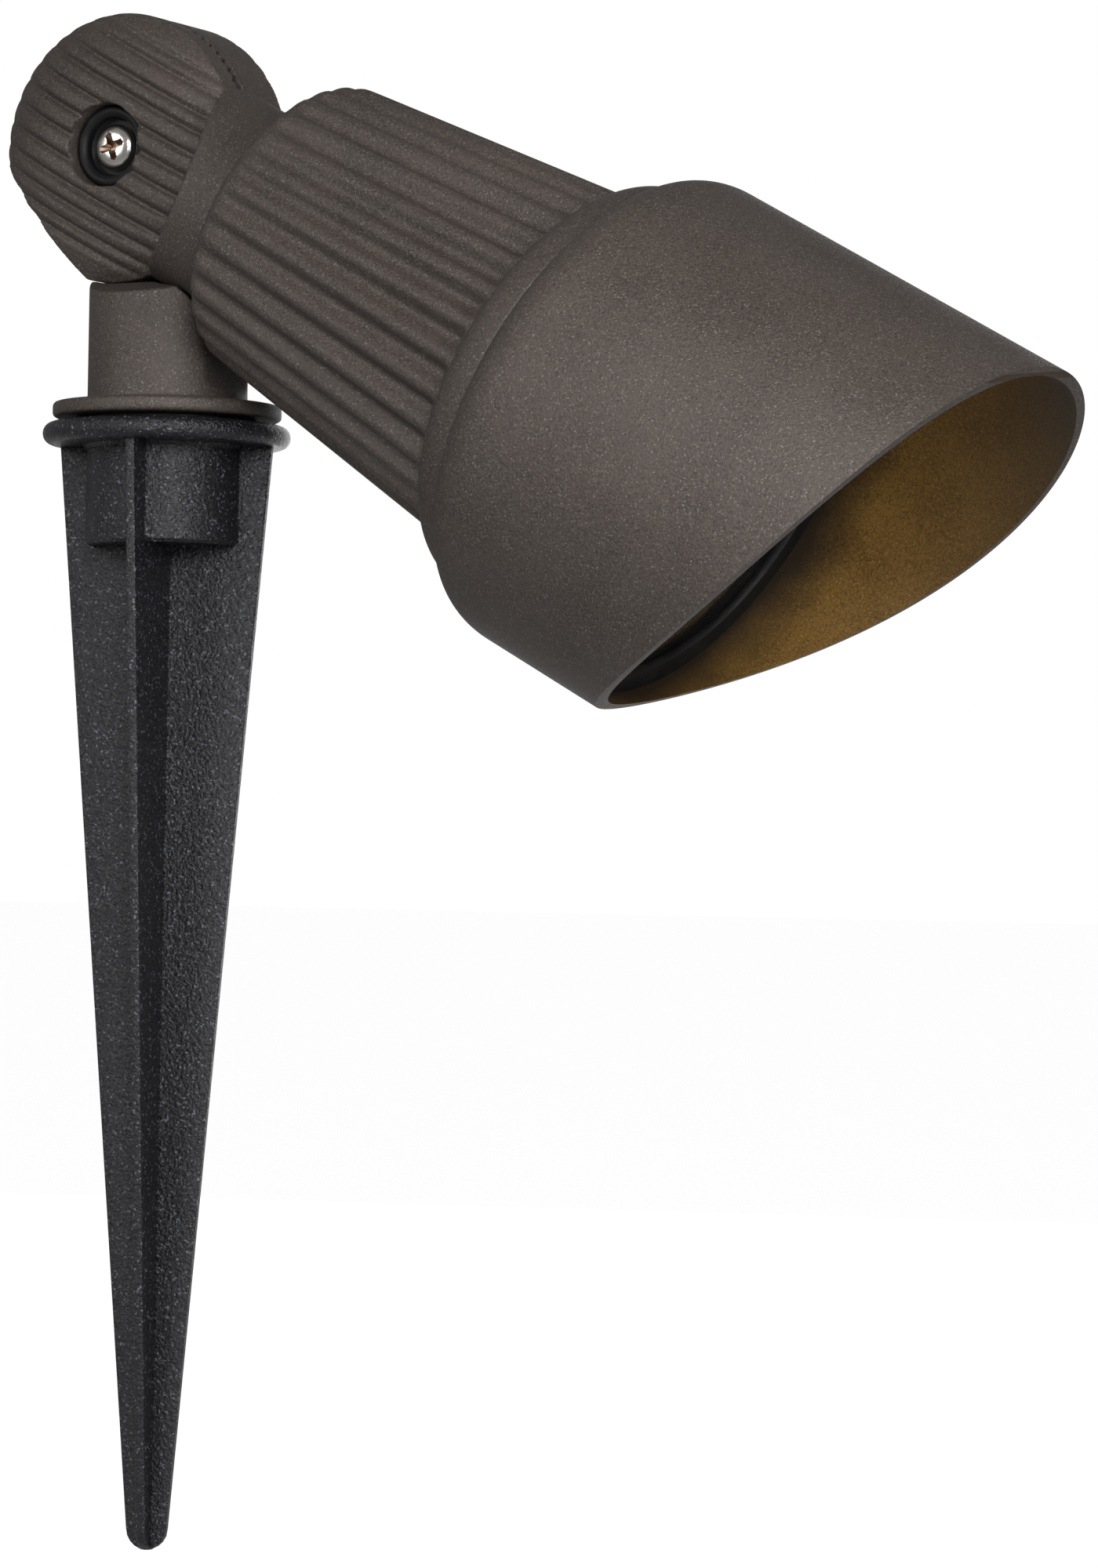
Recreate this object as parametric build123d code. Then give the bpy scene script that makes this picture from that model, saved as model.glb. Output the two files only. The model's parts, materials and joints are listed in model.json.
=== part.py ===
from build123d import *
import math
import os

# Landscape spotlight on a ground spike, in millimetres, +Z up.
# The origin is on the spike's axis at the ground line, the underside of the spike's flange.
# The knuckle turns about Y, the head points to +X and down, and the knuckle screw's head faces -Y.
# Pieces of the head are drawn with the pivot at the origin and the head lying along +X, then placed.

# Ground spike
spike_length = 210.8
spike_flange_radius = 23.7
spike_flange_thickness = 4.2
spike_flange_round = 2.0
boss_radius = 15.2
boss_length = 19.0
boss_floor = 3.0
blade_reach = 21.4
blade_tip_reach = 4.0
blade_edge = 1.8
blade_root = 3.9
blade_tip_root = 2.6
blade_turn = 15.0
cable_exit_radius = 4.0
cable_exit_turn = 135.0

# Stem
gasket_thickness = 1.0
gasket_radius = 17.3
nipple_radius = 10.4
nipple_length = 14.0
thread_pitch = 1.8
thread_depth = 0.9
thread_clearance = 0.3
stem_flange_radius = 21.9
stem_flange_thickness = 2.9
stem_flange_round = 1.2
post_radius = 15.3
post_flat_depth = 1.8
post_flat_lift = 1.6
post_flat_round = 3.0
post_slope = 17.0
stem_bore_radius = 5.5
stem_bore_height = 14.0
riser_radius = 2.6
bush_length = 7.0
bush_lip = 1.5
supply_wire_radius = 1.4
supply_wire_pitch = 4.4

# Knuckle
pivot_setback = 8.3
pivot_rise = 49.1
knuckle_radius = 25.9
knuckle_gap = 0.6
front_face_depth = 11.6
front_rim_depth = 6.0
rear_face_depth = 16.5
rear_rim_depth = 13.4
face_flat_radius = 11.0
rib_pitch = 4.2
rib_shift = 0.6
rib_width = 3.1
rib_height = 0.9
rib_rim_height = 0.3
outline_flat_reach = 21.3
outline_flat_turn = 21.9
tooth_count = 72
tooth_height = 0.9
tooth_length = 8.0
tooth_inset = 0.25
tooth_gap = 0.5
tooth_relief = 0.05
chamber_radius = 13.2
chamber_depth = 3.0
column_radius = 5.2
seal_ring_radius = 15.5
seal_wire_radius = 1.4
seal_seat = 0.05

# Knuckle fasteners
screw_radius = 2.1
screw_fit = 0.05
screw_head_radius = 4.4
screw_head_height = 2.4
counterbore_radius = 8.0
counterbore_depth = 6.0
cross_width = 1.5
cross_reach = 2.9
cross_depth = 1.7
cup_gap = 0.15
cup_floor = 0.6
cup_height = 3.4
cup_wall = 2.1
nut_flats = 8.0
nut_thickness = 3.4
nut_pocket_gap = 0.3
nut_pocket_depth = 5.0
washer_radius = 4.1
washer_thickness = 1.0

# Head casting
tilt = 28.5
head_offset = 3.5
neck_offset = 1.0
neck_radius = 19.9
saddle_gap = 0.6
barrel_start = 37.9
barrel_length = 67.6
barrel_rear_radius = 29.4
barrel_front_radius = 36.2
barrel_edge_round = 4.8
rear_wall = 7.0
flute_count = 32
flute_radius = 2.2
flute_rear_depth = 1.1
flute_front_depth = 2.5
flute_stop = 1.2
casting_wall = 2.8
collar_length = 8.0
collar_radius = 41.9
spigot_length = 22.5
spigot_radius = 39.4
spigot_wall = 4.4
neck_bore_radius = 5.0
lead_way_radius = 3.0
lead_way_depth = 6.2

# Hood
hood_gap = 0.3
hood_radius = 46.9
hood_shoulder_length = 7.9
hood_wall = 2.0
hood_turned = 8.0
lip_bottom = 31.2
lip_middle = 64.5
lip_top = 80.1
sleeve_clearance = 0.25
lens_seat = 22.7
lens_thickness = 4.0
lens_ring_wall = 2.3
lens_ring_lip = 2.0
lens_ring_web = 1.2
ring_clearance = 0.05
o_ring_wire_radius = 1.4
o_ring_clearance = 0.1
o_ring_setback = 12.0

# Lamp and its holder
lamp_setback = 8.0
lamp_rim_radius = 24.75
lamp_rim_length = 3.0
reflector_length = 27.0
reflector_wall = 1.5
reflector_throat = 9.0
lamp_glass_thickness = 1.2
lamp_glass_setback = 0.4
capsule_radius = 4.5
capsule_length = 15.0
lamp_base_length = 13.0
lamp_base_width = 15.0
lamp_base_depth = 11.0
pin_radius = 0.75
pin_pitch = 5.33
pin_length = 7.5
pin_root = 3.0
pin_hole_clearance = 0.05
socket_length = 14.0
socket_width = 20.0
socket_depth = 12.0
socket_gap = 0.3
bracket_thickness = 1.2
bracket_width = 12.0
bracket_span = 15.0
bracket_foot = 8.0
bracket_window = 8.0
bracket_screw_radius = 1.5
bracket_screw_length = 5.0
bracket_screw_head_radius = 2.8
bracket_screw_head_height = 1.8
lead_radius = 1.1
lead_end = 3.0
grommet_lip = 1.5
grommet_lip_length = 1.4
grommet_clearance = 0.1
baffle_thickness = 1.5
baffle_setback = 10.0
baffle_clearance = 0.2
baffle_ledge = 3.0

# Places that follow from the sizes
stem_seat = spike_flange_thickness + gasket_thickness
stem_flange_top = stem_seat + stem_flange_thickness
pivot_height = stem_flange_top + pivot_rise
barrel_front = barrel_start + barrel_length
collar_front = barrel_front + collar_length
spigot_front = collar_front + spigot_length
hood_start = collar_front + hood_gap
sleeve_bore_radius = spigot_radius + sleeve_clearance
hood_bore_radius = hood_radius - hood_wall
lens_ring_radius = hood_bore_radius - ring_clearance
lens_radius = lens_ring_radius - lens_ring_wall
lens_seat_place = hood_start + lens_seat
spigot_bore_radius = spigot_radius - spigot_wall
cavity_rear_radius = barrel_rear_radius - flute_rear_depth - casting_wall
cavity_front_radius = barrel_front_radius - flute_front_depth - casting_wall
cavity_start = barrel_start + rear_wall
lamp_front = spigot_front - lamp_setback
reflector_back = lamp_front - reflector_length
lamp_base_back = reflector_back - lamp_base_length
socket_front = lamp_base_back - socket_gap
socket_back = socket_front - socket_length
bracket_plate_back = socket_back - bracket_thickness
baffle_back = spigot_front - baffle_setback - baffle_thickness
neck_bore_offset = neck_offset - head_offset
seam_relief = tooth_gap / 2 + tooth_height + tooth_relief
tooth_middle = (tooth_gap + tooth_height) / 2
counterbore_floor = front_face_depth - counterbore_depth
screw_seat = counterbore_floor + cup_floor
nut_floor = rear_face_depth - nut_pocket_depth

pivot = Pos(-pivot_setback, 0, pivot_height)
head = pivot * Rot(0, tilt, 0)
head_axis = Pos(0, 0, head_offset)
base_up = (Align.CENTER, Align.CENTER, Align.MIN)


def upright(radius, low, high):
    """Cylinder about Z from one height to another."""
    return Pos(0, 0, low) * Cylinder(radius, high - low, align=base_up)


def across(radius, near, far):
    """Cylinder about Y from one depth to another."""
    return Pos(0, near, 0) * Rot(-90, 0, 0) * Cylinder(radius, far - near, align=base_up)


def along(radius, start, end):
    """Cylinder about X from one station to another."""
    return Pos(start, 0, 0) * Rot(0, 90, 0) * Cylinder(radius, end - start, align=base_up)


def block(start, end, width, depth):
    """Block about X, with its width along Z and its depth along Y."""
    return Pos((start + end) / 2, 0, 0) * Box(end - start, depth, width)


def turned(curve):
    """Solid turned about X from a closed outline of stations and radii."""
    return revolve(Plane.XZ * make_face(curve), axis=Axis.X)


def ring_of(points):
    """Solid turned about X from straight lines between stations and radii."""
    return turned(Polyline(*points, close=True))


def round_over(centre, length, rise):
    """Quarter of an ellipse in an outline, from straight out to level."""
    return EllipticalCenterArc(centre, length, rise, start_angle=180, arc_size=-90)


def blade_pair():
    """Two opposite blades of the spike, thick at the axis and rounded at the tip."""

    def section(reach, root, height):
        half = [(-reach, -blade_edge / 2), (0, -root / 2), (reach, -blade_edge / 2)]
        outline = half + [(-x, -y) for x, y in half]
        return Plane.XY.offset(height) * make_face(Polyline(*outline, close=True))

    def tip(share):
        reach = blade_tip_reach * math.sqrt(1 - share**2)
        return section(reach, blade_tip_root, blade_tip_reach * (1 - share) - spike_length)

    top = section(blade_reach, blade_root, spike_flange_thickness / 2)
    return loft([top, tip(0), tip(0.5), tip(0.85), tip(0.98)], ruled=True)


def make_ground_spike():
    """Plastic spike with a flange, a boss that takes the stem's thread, and four blades."""
    flange = upright(spike_flange_radius, 0, spike_flange_thickness)
    flange = fillet(flange.edges(), spike_flange_round)
    boss = upright(boss_radius, -boss_length, spike_flange_thickness / 2)
    pair = blade_pair()
    blades = Rot(0, 0, blade_turn) * (pair + Rot(0, 0, 90) * pair)
    bore_radius = nipple_radius + thread_clearance
    bore = upright(bore_radius, boss_floor - boss_length, spike_flange_thickness)
    cable_height = boss_floor + cable_exit_radius - boss_length
    exit_hole = along(cable_exit_radius, 0, 2 * boss_radius)
    exit_hole = Rot(0, 0, blade_turn + cable_exit_turn) * Pos(0, 0, cable_height) * exit_hole
    return flange + boss + blades - bore - exit_hole


def make_stem_gasket():
    """Rubber washer that closes the stem's flange on the spike."""
    ring = upright(gasket_radius, spike_flange_thickness, stem_seat)
    return ring - upright(nipple_radius + thread_clearance, spike_flange_thickness, stem_seat)


def tooth_ring():
    """Ring of radial locking teeth about Z, half above and half below their middle plane."""
    pitch = 360 / tooth_count
    spread = math.tan(math.radians(pitch / 2))
    inner = knuckle_radius - tooth_length
    root = -2 * tooth_height

    def section(radius):
        half_width = radius * spread
        half_height = tooth_height / 2 * radius / knuckle_radius
        low = [(-half_width, root), (half_width, root)]
        flanks = [(half_width, -half_height), (0, half_height), (-half_width, -half_height)]
        return Plane.YZ.offset(radius) * make_face(Polyline(*low, *flanks, close=True))

    tooth = loft([section(inner - 1), section(knuckle_radius + 1)], ruled=True)
    teeth = [Rot(0, 0, i * pitch) * tooth for i in range(tooth_count)]
    band = upright(knuckle_radius - tooth_inset, root, tooth_height) - upright(inner, root, tooth_height)
    return teeth[0].fuse(*teeth[1:]) & band


def knuckle_half(face_depth, rim_depth, back):
    """Domed disc with parallel ribs, from its seam side at y = -back to its face."""

    def dome(face, rim):
        reach = knuckle_radius - face_flat_radius
        drop = rim - face
        bend = (reach**2 + drop**2) / (2 * drop)
        half_angle = math.asin(reach / bend) / 2
        middle = (face_flat_radius + bend * math.sin(half_angle), face + bend * (1 - math.cos(half_angle)))
        outline = Line((0, -back), (0, face)) + Line((0, face), (face_flat_radius, face))
        outline += ThreePointArc((face_flat_radius, face), middle, (knuckle_radius, rim))
        outline += Line((knuckle_radius, rim), (knuckle_radius, -back))
        outline += Line((knuckle_radius, -back), (0, -back))
        return revolve(make_face(outline), axis=Axis.Y)

    count = int(knuckle_radius / rib_pitch)
    slab = Box(2 * knuckle_radius, 4 * face_depth, rib_width)
    slabs = [Pos(0, 0, i * rib_pitch + rib_shift) * slab for i in range(-count, count + 1)]
    ribs = [dome(-face_depth, -rim_depth) & slab for slab in slabs]
    return dome(rib_height - face_depth, rib_rim_height - rim_depth).fuse(*ribs)


def outline_flat():
    """Block beyond the flat on the knuckle's round outline, which both halves share."""
    size = 4 * knuckle_radius
    return Rot(0, outline_flat_turn, 0) * Pos(0, 0, -outline_flat_reach - size / 2) * Box(size, size, size)


def saddle_cut():
    """Room above the stem for the neck at its lowest notch and everywhere above it."""
    radius = neck_radius + saddle_gap
    tube = along(radius, 0, barrel_front)
    above = Pos(barrel_front / 2, 0, barrel_front / 2) * Box(barrel_front, 2 * radius, barrel_front)
    return head * Pos(0, 0, neck_offset) * (tube + above)


def front_cut():
    """Room before the head's half of the knuckle: a flare round its axis, and a slope under the neck."""
    reach = knuckle_radius + knuckle_gap
    front = 2 * post_radius
    length = front - front_rim_depth
    drop = length * math.tan(math.radians(post_slope))
    flare = Pos(0, -front_rim_depth, 0) * Rot(90, 0, 0) * Cone(reach, reach + drop, length, align=base_up)
    foot = [(seam_relief, -reach), (-front_rim_depth, -reach), (-front, -reach - drop)]
    outline = Polyline(*foot, (-front, 0), (seam_relief, 0), close=True)
    return pivot * (flare + extrude(Plane.YZ * make_face(outline), front))


def make_post():
    """Round post and its flange, cut away for the head's half of the knuckle and for the neck."""
    flange = fillet(upright(stem_flange_radius, stem_seat, stem_flange_top).edges(), stem_flange_round)
    post = upright(post_radius, stem_seat, pivot_height - face_flat_radius)
    post -= pivot * across(knuckle_radius + knuckle_gap, -2 * post_radius, seam_relief)
    post -= saddle_cut()
    post -= front_cut()
    flat_height = stem_flange_top + post_flat_lift
    flat = Box(post_radius, 2 * post_radius, pivot_height, align=(Align.MIN, Align.CENTER, Align.MIN))
    corner = flat.edges().filter_by(Axis.Y).group_by(Axis.X)[0].sort_by(Axis.Z)[0]
    flat = fillet(corner, post_flat_round)
    return flange + post - Pos(post_radius - post_flat_depth, 0, flat_height) * flat


def make_stem():
    """Casting of the post, its threaded nipple and the rear half of the knuckle."""
    half = Rot(180, 0, 0) * Rot(0, 90, 0) * knuckle_half(rear_face_depth, rear_rim_depth, seam_relief)
    teeth = Pos(0, tooth_middle, 0) * Rot(90, 0, 0) * Rot(0, 0, 180 / tooth_count) * tooth_ring()
    half = half + Rot(0, tilt, 0) * teeth - Rot(0, tilt, 0) * outline_flat()
    stem = make_post() + pivot * half + make_nipple()
    chamber = across(chamber_radius, 0, seam_relief + chamber_depth) - across(column_radius, 0, rear_face_depth)
    stem -= pivot * chamber
    stem -= pivot * across(screw_radius + screw_fit, 0, rear_face_depth)
    pocket = RegularPolygon(nut_flats / 2 + nut_pocket_gap, 6, major_radius=False)
    stem -= pivot * Pos(0, nut_floor, 0) * Rot(-90, 0, 0) * extrude(pocket, 2 * nut_pocket_depth)
    stem -= knuckle_seal_ring(seal_wire_radius + seal_seat)
    bore_top = stem_flange_top + stem_bore_height
    stem -= upright(stem_bore_radius, stem_seat - nipple_length, bore_top)
    riser_depth = seam_relief + chamber_depth / 2 + riser_radius
    riser = upright(riser_radius, bore_top - 2 * riser_radius, pivot_height - column_radius)
    return stem - Pos(riser_radius - stem_bore_radius, riser_depth, 0) * riser


def knuckle_seal_ring(wire_radius):
    """Ring of round section that lies in the stem's half of the knuckle."""
    return pivot * Pos(0, seam_relief - seal_wire_radius / 2, 0) * Rot(90, 0, 0) * Torus(seal_ring_radius, wire_radius)


def make_nipple():
    """Threaded end of the stem, its thread drawn as plain rings."""
    low = stem_seat - nipple_length
    outline = [(low, 0), (low, nipple_radius - thread_depth)]
    for i in range(int((nipple_length - stem_flange_thickness) / thread_pitch)):
        foot = low + i * thread_pitch
        outline += [(foot + thread_pitch / 2, nipple_radius), (foot + thread_pitch, nipple_radius - thread_depth)]
    outline += [(stem_seat, nipple_radius - thread_depth), (stem_seat, 0)]
    return Rot(0, -90, 0) * ring_of(outline)


def make_stem_bush():
    """Rubber bush in the foot of the nipple, with two holes for the supply wires."""
    low = stem_seat - nipple_length
    plug = upright(stem_bore_radius - grommet_clearance, low, low + bush_length)
    plug += upright(stem_bore_radius + bush_lip, low - bush_lip, low)
    wire = upright(supply_wire_radius, low - bush_lip, low + bush_length)
    return plug - [Pos(side * supply_wire_pitch / 2, 0, 0) * wire for side in (-1, 1)]


def make_knuckle_seal():
    """O-ring between the two knuckle halves."""
    return knuckle_seal_ring(seal_wire_radius)


def make_knuckle_screw():
    """Pan-head screw with a cross recess, which clamps the two knuckle halves."""
    top = -screw_seat - screw_head_height
    pan = across(screw_head_radius, top, -screw_seat)
    pan = fillet(pan.edges().group_by(Axis.Y)[0], 0.55 * screw_head_height)
    cross = Box(2 * cross_reach, 2 * cross_depth, cross_width) + Box(cross_width, 2 * cross_depth, 2 * cross_reach)
    shank = across(screw_radius, -screw_seat, nut_floor + washer_thickness + nut_thickness)
    return pivot * (pan + shank - Pos(0, top, 0) * Rot(0, 45, 0) * cross)


def make_screw_cup():
    """Black rubber cup that seals the screw's counterbore."""
    outer = counterbore_radius - cup_gap
    inner = screw_radius + cup_gap
    floor = -counterbore_floor
    lip = floor - cup_height
    disc = across(outer, lip, floor) - across(outer - cup_wall, lip, -screw_seat)
    return pivot * (disc - across(inner, lip, floor))


def make_lock_washer():
    """Split spring washer under the knuckle nut."""
    ring = across(washer_radius, nut_floor, nut_floor + washer_thickness)
    ring -= across(screw_radius + screw_fit, nut_floor, nut_floor + washer_thickness)
    slit = Pos(washer_radius, nut_floor, 0) * Rot(0, 0, 30) * Box(washer_radius, 6 * washer_thickness, 0.6)
    return pivot * (ring - slit)


def make_knuckle_nut():
    """Hexagon nut in the pocket of the stem's knuckle half."""
    low = nut_floor + washer_thickness
    hexagon = RegularPolygon(nut_flats / 2, 6, major_radius=False)
    nut = Pos(0, low, 0) * Rot(-90, 0, 0) * extrude(hexagon, nut_thickness)
    return pivot * (nut - across(screw_radius + screw_fit, low, low + nut_thickness))


def barrel_radius(station):
    """Outer radius of the barrel's ridges at a station of the head."""
    share = (station - barrel_start - barrel_edge_round) / (barrel_length - barrel_edge_round)
    return barrel_rear_radius + share * (barrel_front_radius - barrel_rear_radius)


def make_flute():
    """Round-ended cutter for one flute, shallow at the rear and deep at the collar."""
    end = barrel_front - flute_stop - flute_radius
    high_end = barrel_radius(end) - flute_front_depth + flute_radius
    high_start = barrel_rear_radius - flute_rear_depth + flute_radius
    run = end - barrel_start
    rise = math.degrees(math.atan2(high_end - high_start, run))
    rod = Rot(0, -rise, 0) * along(flute_radius, -1.2 * run, 0)
    return Pos(end, 0, high_end) * (rod + Sphere(flute_radius))


def make_barrel():
    """Fluted barrel with its collar, the spigot for the hood and the hollow for the lamp."""
    collar_rise = collar_radius - barrel_front_radius
    corner = barrel_rear_radius - barrel_edge_round
    outline = Line((barrel_start, 0), (barrel_start, corner))
    outline += RadiusArc((barrel_start, corner), (barrel_start + barrel_edge_round, barrel_rear_radius), barrel_edge_round)
    outline += Line((barrel_start + barrel_edge_round, barrel_rear_radius), (barrel_front, barrel_front_radius))
    outline += round_over((collar_front, barrel_front_radius), collar_length, collar_rise)
    steps = [
        (collar_front, collar_radius),
        (collar_front, spigot_radius),
        (spigot_front, spigot_radius),
        (spigot_front, spigot_bore_radius),
        (baffle_back, spigot_bore_radius),
        (baffle_back, spigot_bore_radius - baffle_ledge),
        (collar_front, spigot_bore_radius - baffle_ledge),
        (barrel_front, cavity_front_radius),
        (cavity_start, cavity_rear_radius),
        (cavity_start, 0),
        (barrel_start, 0),
    ]
    outline += Polyline(*steps)
    barrel = turned(outline)
    flute = make_flute()
    barrel -= [Rot(i * 360 / flute_count, 0, 0) * flute for i in range(flute_count)]
    groove_place = spigot_front - o_ring_setback
    groove_depth = 2 * o_ring_wire_radius + o_ring_clearance
    groove_half = o_ring_wire_radius + o_ring_clearance
    groove_floor = sleeve_bore_radius - groove_depth - o_ring_clearance
    start = groove_place - groove_half
    end = groove_place + groove_half
    return barrel - (along(spigot_radius + 1, start, end) - along(groove_floor, start, end))


def make_head_housing():
    """Casting of the front half of the knuckle, the neck, the barrel and the collar."""
    half = knuckle_half(front_face_depth, front_rim_depth, seam_relief)
    teeth = Pos(0, -tooth_middle, 0) * Rot(-90, 0, 0) * tooth_ring()
    neck = Pos(0, 0, neck_offset) * along(neck_radius, 0, barrel_start + barrel_edge_round)
    neck -= across(knuckle_radius + knuckle_gap, -seam_relief, 2 * neck_radius)
    neck -= across(knuckle_radius, -2 * neck_radius, -seam_relief)
    housing = half + teeth - outline_flat() + neck + head_axis * make_barrel()
    housing -= across(chamber_radius, -seam_relief - chamber_depth, 0) - across(column_radius, -front_face_depth, 0)
    housing -= across(screw_radius + screw_fit, -front_face_depth, 0)
    housing -= across(counterbore_radius, -2 * front_face_depth, -counterbore_floor)
    way_start = counterbore_radius + lead_way_radius / 2
    housing -= Pos(0, -lead_way_depth, neck_offset) * along(lead_way_radius, way_start, barrel_start - neck_bore_radius)
    bore_start = knuckle_radius + neck_bore_radius
    housing -= Pos(0, 0, neck_offset) * along(neck_bore_radius, bore_start, cavity_start)
    hole = along(bracket_screw_radius + screw_fit, cavity_start - bracket_screw_length - screw_fit, cavity_start)
    for side in (-1, 1):
        housing -= head_axis * Pos(0, side * (bracket_span + bracket_foot / 2), 0) * hole
    return head * housing


def make_hood():
    """Sleeve with a rounded shoulder and a long upper lip, which pushes over the spigot."""
    shoulder_end = hood_start + hood_shoulder_length
    rise = hood_radius - collar_radius
    far = hood_start + 1.2 * lip_top
    outline = round_over((shoulder_end, collar_radius), hood_shoulder_length, rise)
    steps = [
        (shoulder_end, hood_radius),
        (far, hood_radius),
        (far, hood_bore_radius),
        (lens_seat_place, hood_bore_radius),
        (lens_seat_place, sleeve_bore_radius),
        (hood_start, sleeve_bore_radius),
        (hood_start, collar_radius),
    ]
    hood = turned(outline + Polyline(*steps))
    low = (hood_start + lip_bottom, -hood_radius)
    high = (hood_start + lip_top, hood_radius)
    edge = ThreePointArc(low, (hood_start + lip_middle, 0), high)
    beyond = [high, (high[0], 2 * hood_radius), (2 * far, 2 * hood_radius)]
    beyond += [(2 * far, -2 * hood_radius), (low[0], -2 * hood_radius), low]
    cut = extrude(Plane.XZ * make_face(edge + Polyline(*beyond)), 2 * hood_radius, both=True)
    return head * head_axis * Rot(hood_turned, 0, 0) * (hood - cut)


def make_hood_o_ring():
    """O-ring in the spigot's groove, which holds the hood by friction."""
    centre_radius = sleeve_bore_radius - o_ring_clearance - o_ring_wire_radius
    ring = Rot(0, 90, 0) * Torus(centre_radius, o_ring_wire_radius)
    return head * head_axis * Pos(spigot_front - o_ring_setback, 0, 0) * ring


def make_lens():
    """Flat glass of the hood, with eased edges."""
    start = lens_seat_place + lens_ring_web
    glass = along(lens_radius, start, start + lens_thickness)
    return head * head_axis * chamfer(glass.edges(), lens_ring_web / 4)


def make_lens_ring():
    """Black rubber channel round the lens, pressed into the hood against its step."""
    start = lens_seat_place
    end = start + lens_thickness + 2 * lens_ring_web
    lip_radius = lens_radius - lens_ring_lip
    ring = along(lens_ring_radius, start, end) - along(lip_radius, start, end)
    ring -= along(lens_radius + ring_clearance, start + lens_ring_web, end - lens_ring_web)
    return head * head_axis * ring


def make_baffle_ring():
    """Ring on the spigot's ledge that centres the lamp and hides its holder."""
    inner = lamp_rim_radius + baffle_clearance
    outer = spigot_bore_radius - baffle_clearance
    end = baffle_back + baffle_thickness
    ring = along(outer, baffle_back, end) + along(inner + baffle_thickness, baffle_back - lamp_rim_length, end)
    return head * head_axis * (ring - along(inner, baffle_back - lamp_rim_length, end))


def make_lamp_reflector():
    """Glass reflector of the lamp: a cylindrical rim and a bowl that narrows to its throat."""
    rim_back = lamp_front - lamp_rim_length
    glass_seat = lamp_front - lamp_glass_setback - lamp_glass_thickness
    waist = (rim_back + reflector_back) / 2
    outer_waist = (waist, reflector_throat + 0.72 * (lamp_rim_radius - reflector_throat))
    inner_rim = lamp_rim_radius - reflector_wall
    inner_throat = reflector_throat - reflector_wall
    inner_waist = (waist, outer_waist[1] - reflector_wall)
    outline = ThreePointArc((rim_back, lamp_rim_radius), outer_waist, (reflector_back, reflector_throat))
    outline += Polyline((reflector_back, reflector_throat), (reflector_back, inner_throat))
    outline += ThreePointArc((reflector_back, inner_throat), inner_waist, (rim_back, inner_rim - reflector_wall))
    steps = [
        (rim_back, inner_rim - reflector_wall),
        (glass_seat, inner_rim - reflector_wall),
        (glass_seat, inner_rim),
        (lamp_front, inner_rim),
        (lamp_front, lamp_rim_radius),
        (rim_back, lamp_rim_radius),
    ]
    return head * head_axis * turned(outline + Polyline(*steps))


def make_lamp_glass():
    """Front glass of the lamp, seated in its rim."""
    radius = lamp_rim_radius - reflector_wall - ring_clearance
    front = lamp_front - lamp_glass_setback
    return head * head_axis * along(radius, front - lamp_glass_thickness, front)


def make_lamp_capsule():
    """Quartz capsule in the lamp's throat, with a rounded end."""
    end = reflector_back + capsule_length
    bulb = along(capsule_radius, reflector_back, end)
    return head * head_axis * fillet(bulb.edges().group_by(Axis.X)[-1], 0.8 * capsule_radius)


def make_lamp_base():
    """Ceramic foot of the lamp, bored for its pins."""
    foot = fillet(block(lamp_base_back, reflector_back, lamp_base_width, lamp_base_depth).edges().filter_by(Axis.X), 2)
    pin = along(pin_radius + pin_hole_clearance, lamp_base_back, lamp_base_back + pin_root)
    return head * head_axis * (foot - [Pos(0, 0, side * pin_pitch / 2) * pin for side in (-1, 1)])


def make_lamp_pins():
    """The two contact pins of the lamp."""
    pin = along(pin_radius, lamp_base_back - pin_length, lamp_base_back + pin_root)
    return head * head_axis * Compound(children=[Pos(0, 0, side * pin_pitch / 2) * pin for side in (-1, 1)])


def make_lamp_socket():
    """Ceramic socket, bored for the lamp's pins and for its leads."""
    body = fillet(block(socket_back, socket_front, socket_width, socket_depth).edges().filter_by(Axis.X), 2)
    pin = along(pin_radius + pin_hole_clearance, socket_front - pin_length - socket_gap, socket_front)
    lead = along(lead_radius + pin_hole_clearance, socket_back, socket_back + lead_end)
    for side in (-1, 1):
        body -= Pos(0, 0, side * pin_pitch / 2) * pin
        body -= Pos(0, 0, side * pin_pitch / 2 + neck_bore_offset) * lead
    return head * head_axis * body


def make_socket_bracket():
    """Bent steel strap that carries the socket on the barrel's rear wall."""
    plate = block(bracket_plate_back, socket_back, bracket_width, 2 * bracket_span)
    window = block(bracket_plate_back, socket_back, bracket_window, bracket_window)
    strap = plate - Pos(0, 0, neck_bore_offset) * window
    foot = block(cavity_start, cavity_start + bracket_thickness, bracket_width, bracket_foot)
    foot -= along(bracket_screw_radius + screw_fit, cavity_start, cavity_start + bracket_thickness)
    leg = block(cavity_start, socket_back, bracket_width, bracket_thickness)
    for side in (-1, 1):
        strap += Pos(0, side * (bracket_span - bracket_thickness / 2), 0) * leg
        strap += Pos(0, side * (bracket_span + bracket_foot / 2), 0) * foot
    return head * head_axis * strap


def make_bracket_screws():
    """The two screws of the bracket's feet."""
    seat = cavity_start + bracket_thickness
    screw = along(bracket_screw_radius, cavity_start - bracket_screw_length, seat)
    screw += along(bracket_screw_head_radius, seat, seat + bracket_screw_head_height)
    places = [Pos(0, side * (bracket_span + bracket_foot / 2), 0) for side in (-1, 1)]
    return head * head_axis * Compound(children=[place * screw for place in places])


def make_lamp_leads():
    """The two wires from the socket through the grommet into the neck."""
    lead = along(lead_radius, barrel_start - lead_end, socket_back + lead_end)
    places = [Pos(0, 0, neck_offset + side * pin_pitch / 2) for side in (-1, 1)]
    return head * Compound(children=[place * lead for place in places])


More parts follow.
